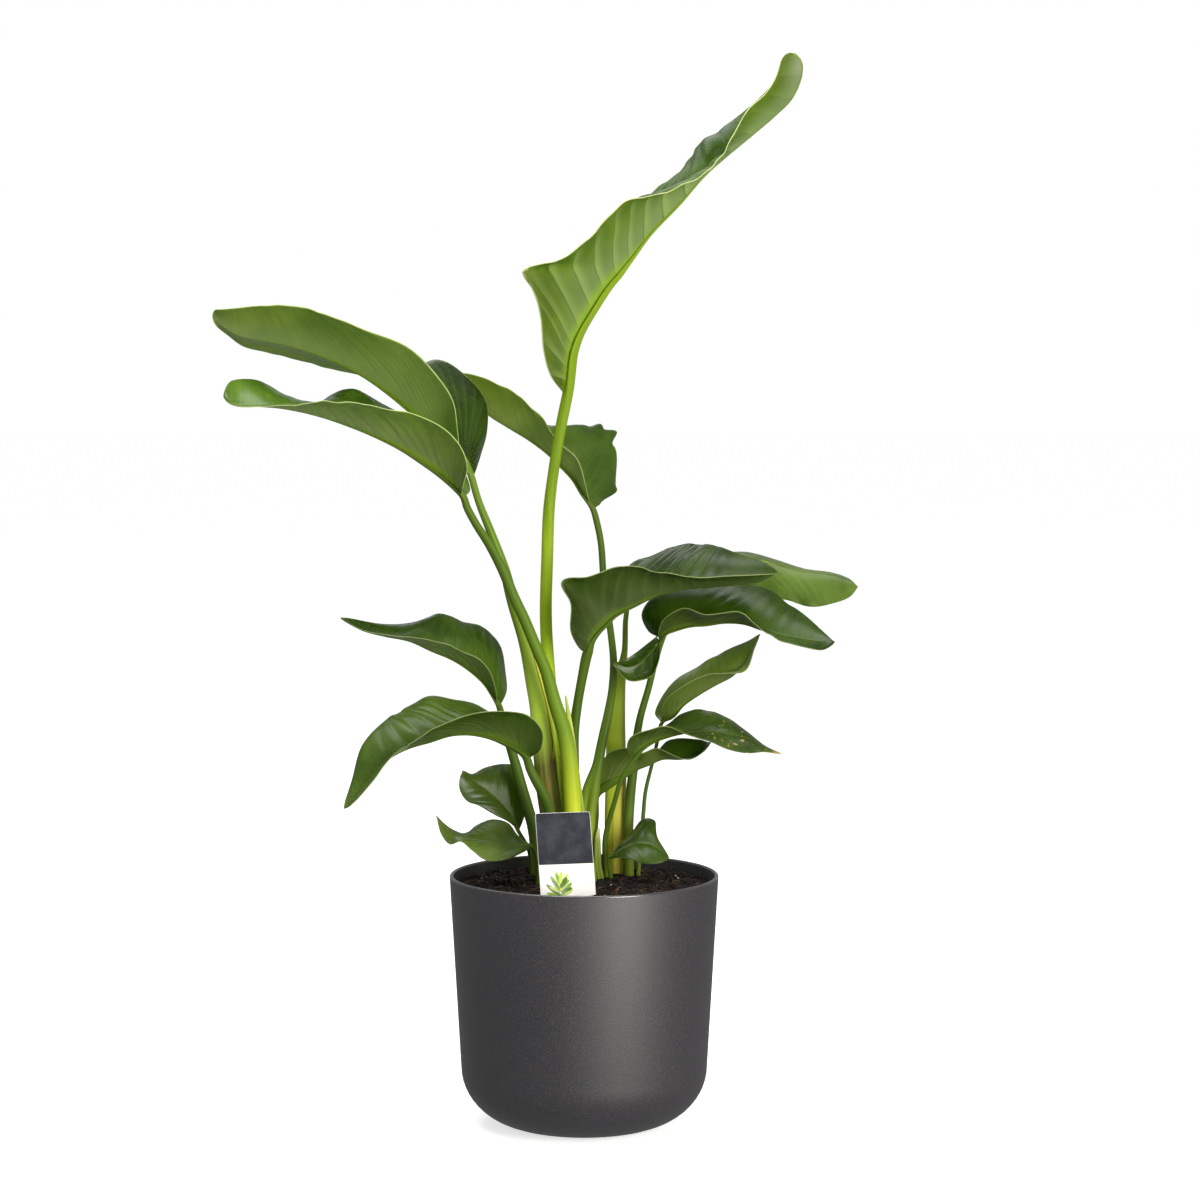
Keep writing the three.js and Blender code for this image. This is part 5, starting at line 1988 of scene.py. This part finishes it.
@dataclass(frozen=True)
class Soil:
    """The soil that fills the pot, with loose crumbs, fibres and grains on it.

    A wave is (height, turns per mm along X, along Y), and a lump (height, lumps per mm, layer).
    """

    outline: PotOutline = PotOutline()
    finish: SoilFinish = SoilFinish()
    edge_level: float = 195.5
    gap: float = 0.35
    cells: int = 150
    smooth_below: float = 50.0
    waves: Points = ((1.1, 0.21, 0.17), (0.7, 0.33, -0.33))
    lumps: Points = ((1.3, 0.11, 0), (0.9, 0.4, 7))
    rim_from: float = 0.86
    rim_lumps: float = 0.3
    floor_steps: int = 3
    crumbs: Scraps = Scraps("soil_crumbs", 1100, 0.97, 0.5, 1.7, 3, (0.75, 0.5), 0.35, stretch=(0.8, 0.6))
    fibres: Fibres = Fibres()
    grains: Scraps = Scraps("soil_grains", 70, 0.95, 0.3, 0.8, 2, (0.8, 0.4), 0.5)
    seed: int = 5

    def edge(self) -> float:
        """The radius of the soil's surface."""
        return self.outline.wall_radius(self.edge_level) - self.outline.wall - self.gap

    def level(self, x: float, y: float) -> float:
        """The height of the ground at a place.

        Args:
            x: The place's X in mm.
            y: The place's Y in mm.

        Returns:
            The height in mm.
        """
        waves = sum(height * math.sin(turn_x * x + turn_y * y) for height, turn_x, turn_y in self.waves)
        lumps = sum(
            height * noise.noise(Vector((x, y, layer)) * scale) for height, scale, layer in self.lumps
        )
        share = math.hypot(x, y) / self.edge()
        rim = min(max((share - self.rim_from) / (1 - self.rim_from), 0), 1)
        edge = self.edge_level + self.rim_lumps * lumps
        return (SOIL_LEVEL + waves + lumps) * (1 - rim) + edge * rim

    def build(self) -> Piece:
        """The soil and what lies on it, as one piece.

        Returns:
            The piece.
        """
        side = np.linspace(-1, 1, self.cells + 1)
        x, y = np.meshgrid(side, side)
        radius = self.edge()
        wide = x * np.sqrt(1 - y**2 / 2) * radius
        deep = y * np.sqrt(1 - x**2 / 2) * radius
        high = np.vectorize(self.level)(wide, deep)
        bed = sheet("soil_bed", np.stack([wide, deep, high], axis=-1))
        edit(bed)
        bpy.ops.mesh.select_all(action="DESELECT")
        bpy.ops.mesh.select_mode(type="EDGE")
        bpy.ops.mesh.select_non_manifold(extend=False)
        inner = [(r - self.gap, h) for r, h in reversed(self.outline.corner(self.outline.wall))]
        draw_rings([(radius, self.edge_level), *inner[:: self.floor_steps]])
        bpy.ops.mesh.edge_face_add()
        bpy.ops.mesh.select_all(action="SELECT")
        bpy.ops.mesh.normals_make_consistent(inside=False)
        leave_edit()
        bpy.ops.object.shade_smooth_by_angle(angle=math.radians(self.smooth_below))
        bed.data.materials.append(self.finish.bed())
        return finish_piece(join("soil_and_scraps", [bed, *self.scraps()]), "soil")

    def scraps(self) -> list[Piece]:
        """What lies on the soil.

        Returns:
            The crumbs, the fibres and the grains.
        """
        draw = random.Random(self.seed)
        kinds = (
            (self.crumbs, "soil_crumbs", self.finish.brown, 0.9),
            (self.fibres, "soil_fibres", self.finish.fibre, 0.75),
            (self.grains, "soil_grains", self.finish.grain, 0.8),
        )
        return [
            kind.build(self, draw, self.finish.scrap(name, colour, rough))
            for kind, name, colour, rough in kinds
        ]

    def spot(self, draw: random.Random, reach: float) -> tuple[float, float]:
        """A place on the ground.

        Args:
            draw: The source of the place.
            reach: The share of the ground's radius that it lies within.

        Returns:
            Its X and Y in mm.
        """
        turn = draw.random() * math.tau
        radius = self.edge() * reach * math.sqrt(draw.random())
        return radius * math.cos(turn), radius * math.sin(turn)


# Label


@dataclass(frozen=True)
class LabelFinish:
    """Plain card: a slate panel over a white foot with a sprig on it."""

    slate: Colour = shade(32, 35, 43)
    chalk: Colour = shade(88, 92, 102)
    white: Colour = shade(232, 232, 228)
    shaded: Colour = shade(206, 206, 200)

    def printed(self, name: str, first: Colour, second: Colour) -> Material:
        """Matt print on the card.

        Args:
            name: The material's name.
            first: The print's colour.
            second: The colour that its patches turn to.

        Returns:
            The material.
        """
        recipe = Recipe(name, 0.6, 0.15)
        place = recipe.place()
        patches = recipe.noise(place, 70, 4, 0.6)
        recipe.colour(recipe.blend(recipe.rescale(patches, 0.35, 0.75, 0, 0.3), first, second))
        recipe.bump(recipe.noise(place, 1400, 2), 0.2, 0.05)
        return recipe.material


@dataclass(frozen=True)
class Sprig:
    """A fan of slender leaves, raised a little from the card that carries it, in mm."""

    foot: tuple[float, float] = (-6.0, -20.5)
    storey: float = 3.2
    storey_leaves: int = 4
    turns: tuple[float, ...] = (-78, 66, -50, 42, -64, 74, -30, 24, -46, 50, -12, 34, -20, 10)
    lengths: tuple[float, ...] = (12, 11, 15, 14, 10, 10, 15, 16, 9, 10, 14, 10, 9, 10)
    width: float = 3.8
    narrowest: float = 0.7
    widening: float = 0.1
    raised: float = 0.06
    first_layer: float = 0.4
    layer_step: float = 0.07
    corners: int = 12
    tones: tuple[Colour, ...] = (shade(122, 158, 44), shade(186, 202, 92), shade(74, 112, 30))

    def build(self, finish: LabelFinish, front: float) -> list[Piece]:
        """The leaves, each a thin plate.

        Args:
            finish: The finish of the card.
            front: The Y of the card's front face in mm.

        Returns:
            The plates.
        """
        prints = [
            finish.printed(f"label_sprig_{index}", tone, finish.white)
            for index, tone in enumerate(self.tones)
        ]
        bpy.ops.mesh.primitive_circle_add(vertices=self.corners, radius=MM / 2, fill_type="NGON")
        outline = new_piece("sprig_outline")
        plates = []
        for index, (turn, length) in enumerate(zip(self.turns, self.lengths)):
            plate = copy_of(outline, f"sprig_leaf_{index}")
            wide = self.narrowest + self.widening * (index % self.storey_leaves)
            plate.scale = (self.width * wide, length, 1)
            settle(plate)
            slope = math.radians(turn)
            plate.rotation_euler = (math.radians(90), slope, 0)
            across = self.foot[0] + math.sin(slope) * length / 2
            rise = self.storey * (index // self.storey_leaves)
            up = self.foot[1] + rise + math.cos(slope) * length / 2
            layer = self.raised * (self.first_layer + self.layer_step * index)
            plate.location = (across * MM, (front - layer) * MM, up * MM)
            settle(plate)
            apply_modifier(plate, "SOLIDIFY", thickness=self.raised * MM * 2, offset=0)
            plate.data.materials.append(prints[index % len(prints)])
            plates.append(plate)
        bpy.data.objects.remove(outline)
        return plates


@dataclass(frozen=True)
class Label:
    """The plant label, which stands in the soil at a lean."""

    finish: LabelFinish = LabelFinish()
    sprig: Sprig = Sprig()
    width: float = 45.0
    length: float = 93.0
    thickness: float = 1.0
    centre: tuple[float, float, float] = (-13.7, -65.6, 219.5)
    lean: float = 17.5
    turn: float = 14.0
    corner: float = 1.5
    panel_foot: float = 4.5
    panel_border: float = 0.3
    edge_bevel: float = 0.2
    edge_angle: float = 60.0
    smooth_below: float = 35.0
    corner_steps: int = 5
    edge_steps: int = 2

    def build(self) -> Piece:
        """The label as one piece.

        Returns:
            The piece.
        """
        bpy.ops.mesh.primitive_cube_add(size=MM)
        card = new_piece("label_card")
        card.scale = (self.width, self.thickness, self.length)
        settle(card)
        edit_chosen(card, Part.EDGE, lambda line: self.is_corner(card, line))
        bpy.ops.mesh.bevel(offset=self.corner * MM, segments=self.corner_steps, affect="EDGES")
        bpy.ops.mesh.select_all(action="SELECT")
        bpy.ops.mesh.bisect(plane_co=(0, 0, self.panel_foot * MM), plane_no=(0, 0, 1))
        leave_edit()
        apply_modifier(
            card, "BEVEL", width=self.edge_bevel * MM, segments=self.edge_steps, limit_method="ANGLE",
            angle_limit=math.radians(self.edge_angle),
        )
        card.data.materials.append(self.finish.printed("label_card", self.finish.white, self.finish.shaded))
        card.data.materials.append(self.finish.printed("label_slate", self.finish.slate, self.finish.chalk))
        self.inset_panel(card)
        piece = join("label_with_sprig", [card, *self.sprig.build(self.finish, -self.thickness / 2)])
        piece.rotation_euler = (math.radians(-self.lean), 0, math.radians(self.turn))
        piece.location = Vector(self.centre) * MM
        settle(piece)
        bpy.ops.object.shade_smooth_by_angle(angle=math.radians(self.smooth_below))
        return finish_piece(piece, "plant_label")

    def is_corner(self, card: Piece, line: bpy.types.MeshEdge) -> bool:
        """Whether an edge of the card runs from its front to its back."""
        front, back = (card.data.vertices[index].co.y for index in line.vertices)
        return abs(front - back) > self.thickness * MM / 2

    def inset_panel(self, card: Piece) -> None:
        """Sets the slate panel in from the card's edges.

        Args:
            card: The card.
        """
        foot = self.panel_foot * MM
        edit_chosen(card, Part.FACE, lambda face: face.normal.y < -0.9 and face.center.z > foot)
        bpy.ops.mesh.inset(thickness=self.panel_border * MM, depth=0)
        card.active_material_index = 1
        bpy.ops.object.material_slot_assign()
        leave_edit()


# Studio


@dataclass(frozen=True)
class Softbox:
    """A large soft light that faces a point, in metres."""

    name: str
    place: tuple[float, float, float]
    target: tuple[float, float, float]
    size: tuple[float, float]
    power: float
    tint: tuple[float, float, float] = (1.0, 1.0, 1.0)

    def build(self) -> None:
        """Adds the light."""
        bpy.ops.object.light_add(type="AREA", location=self.place)
        lamp = bpy.context.active_object
        lamp.name = self.name
        lamp.rotation_euler = (Vector(self.target) - Vector(self.place)).to_track_quat("-Z", "Y").to_euler()
        lamp.data.shape = "RECTANGLE"
        lamp.data.size, lamp.data.size_y = self.size
        lamp.data.energy = self.power
        lamp.data.color = self.tint
        lamp.visible_camera = False


@dataclass(frozen=True)
class Studio:
    """The camera, a pale floor and soft light."""

    pitch: float = 4.104
    lens: float = 92.46
    sensor: float = 36.0
    floor_size: float = 60.0
    floor_colour: Colour = shade(246, 246, 246)
    floor_shaded: Colour = shade(236, 236, 236)
    floor_glow: float = 0.7
    sky: float = 0.38
    softboxes: tuple[Softbox, ...] = (
        Softbox("key_light", (1.3, -1.85, 0.7), (0, 0, 0.3), (0.95, 1.4), 54, (1.0, 0.95, 0.88)),
        Softbox("low_light", (0.8, -1.8, 0.14), (0, 0, 0.45), (1.2, 0.26), 4.5, (1.0, 0.97, 0.9)),
        Softbox("back_light", (-0.5, 1.7, 1.9), (0, 0, 0.5), (1.6, 0.7), 6),
        Softbox("top_light", (-0.3, -0.2, 2.3), (0, 0, 0.4), (1.6, 1.6), 44),
    )

    def build(self) -> None:
        """Adds the camera, the floor, the sky and the lights."""
        self.add_camera()
        self.add_floor()
        self.light_sky()
        for softbox in self.softboxes:
            softbox.build()
        bpy.context.scene.view_settings.view_transform = "Standard"

    def add_camera(self) -> None:
        """Puts the camera at the eye that the leaves' rails are given from."""
        place = Vector(EYE.tolist()) * MM
        bpy.ops.object.camera_add(location=place, rotation=(math.radians(90 - self.pitch), 0, 0))
        camera = bpy.context.active_object
        camera.name = "front_camera"
        camera.data.lens = self.lens
        camera.data.sensor_width = self.sensor
        bpy.context.scene.camera = camera

    def add_floor(self) -> None:
        """Adds the pale floor, which glows a little and lights nothing."""
        bpy.ops.mesh.primitive_plane_add(size=self.floor_size)
        floor = new_piece("studio_floor")
        recipe = Recipe("studio_floor", 0.9, 0.0)
        clouds = recipe.rescale(recipe.noise(recipe.place(), 3, 2), 0.3, 0.7, 0, 0.05)
        recipe.colour(recipe.blend(clouds, self.floor_colour, self.floor_shaded))
        recipe.shader.inputs["Emission Color"].default_value = self.floor_colour
        recipe.shader.inputs["Emission Strength"].default_value = self.floor_glow
        floor.data.materials.append(recipe.material)
        floor.visible_diffuse = False
        floor.visible_glossy = False

    def light_sky(self) -> None:
        """Makes the sky white to the camera and a softer white to the object."""
        world = bpy.data.worlds.new("studio_sky")
        world.use_nodes = True
        bpy.context.scene.world = world
        tree = world.node_tree
        path = tree.nodes.new("ShaderNodeLightPath")
        strength = tree.nodes.new("ShaderNodeMapRange")
        strength.inputs["To Min"].default_value = self.sky
        strength.inputs["To Max"].default_value = 1.0
        tree.links.new(path.outputs["Is Camera Ray"], strength.inputs["Value"])
        tree.links.new(strength.outputs[0], tree.nodes["Background"].inputs["Strength"])
        tree.nodes["Background"].inputs["Color"].default_value = (1, 1, 1, 1)


def main() -> None:
    """Builds the studio and every piece in order."""
    logging.basicConfig(level=logging.INFO, format="%(name)s: %(message)s")
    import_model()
    Studio().build()
    Pot().build()
    Soil().build()
    Label().build()
    for leaf in LEAVES:
        leaf.build()
    for sheath in SHEATHS:
        sheath.build()


if __name__ == "__main__":
    main()
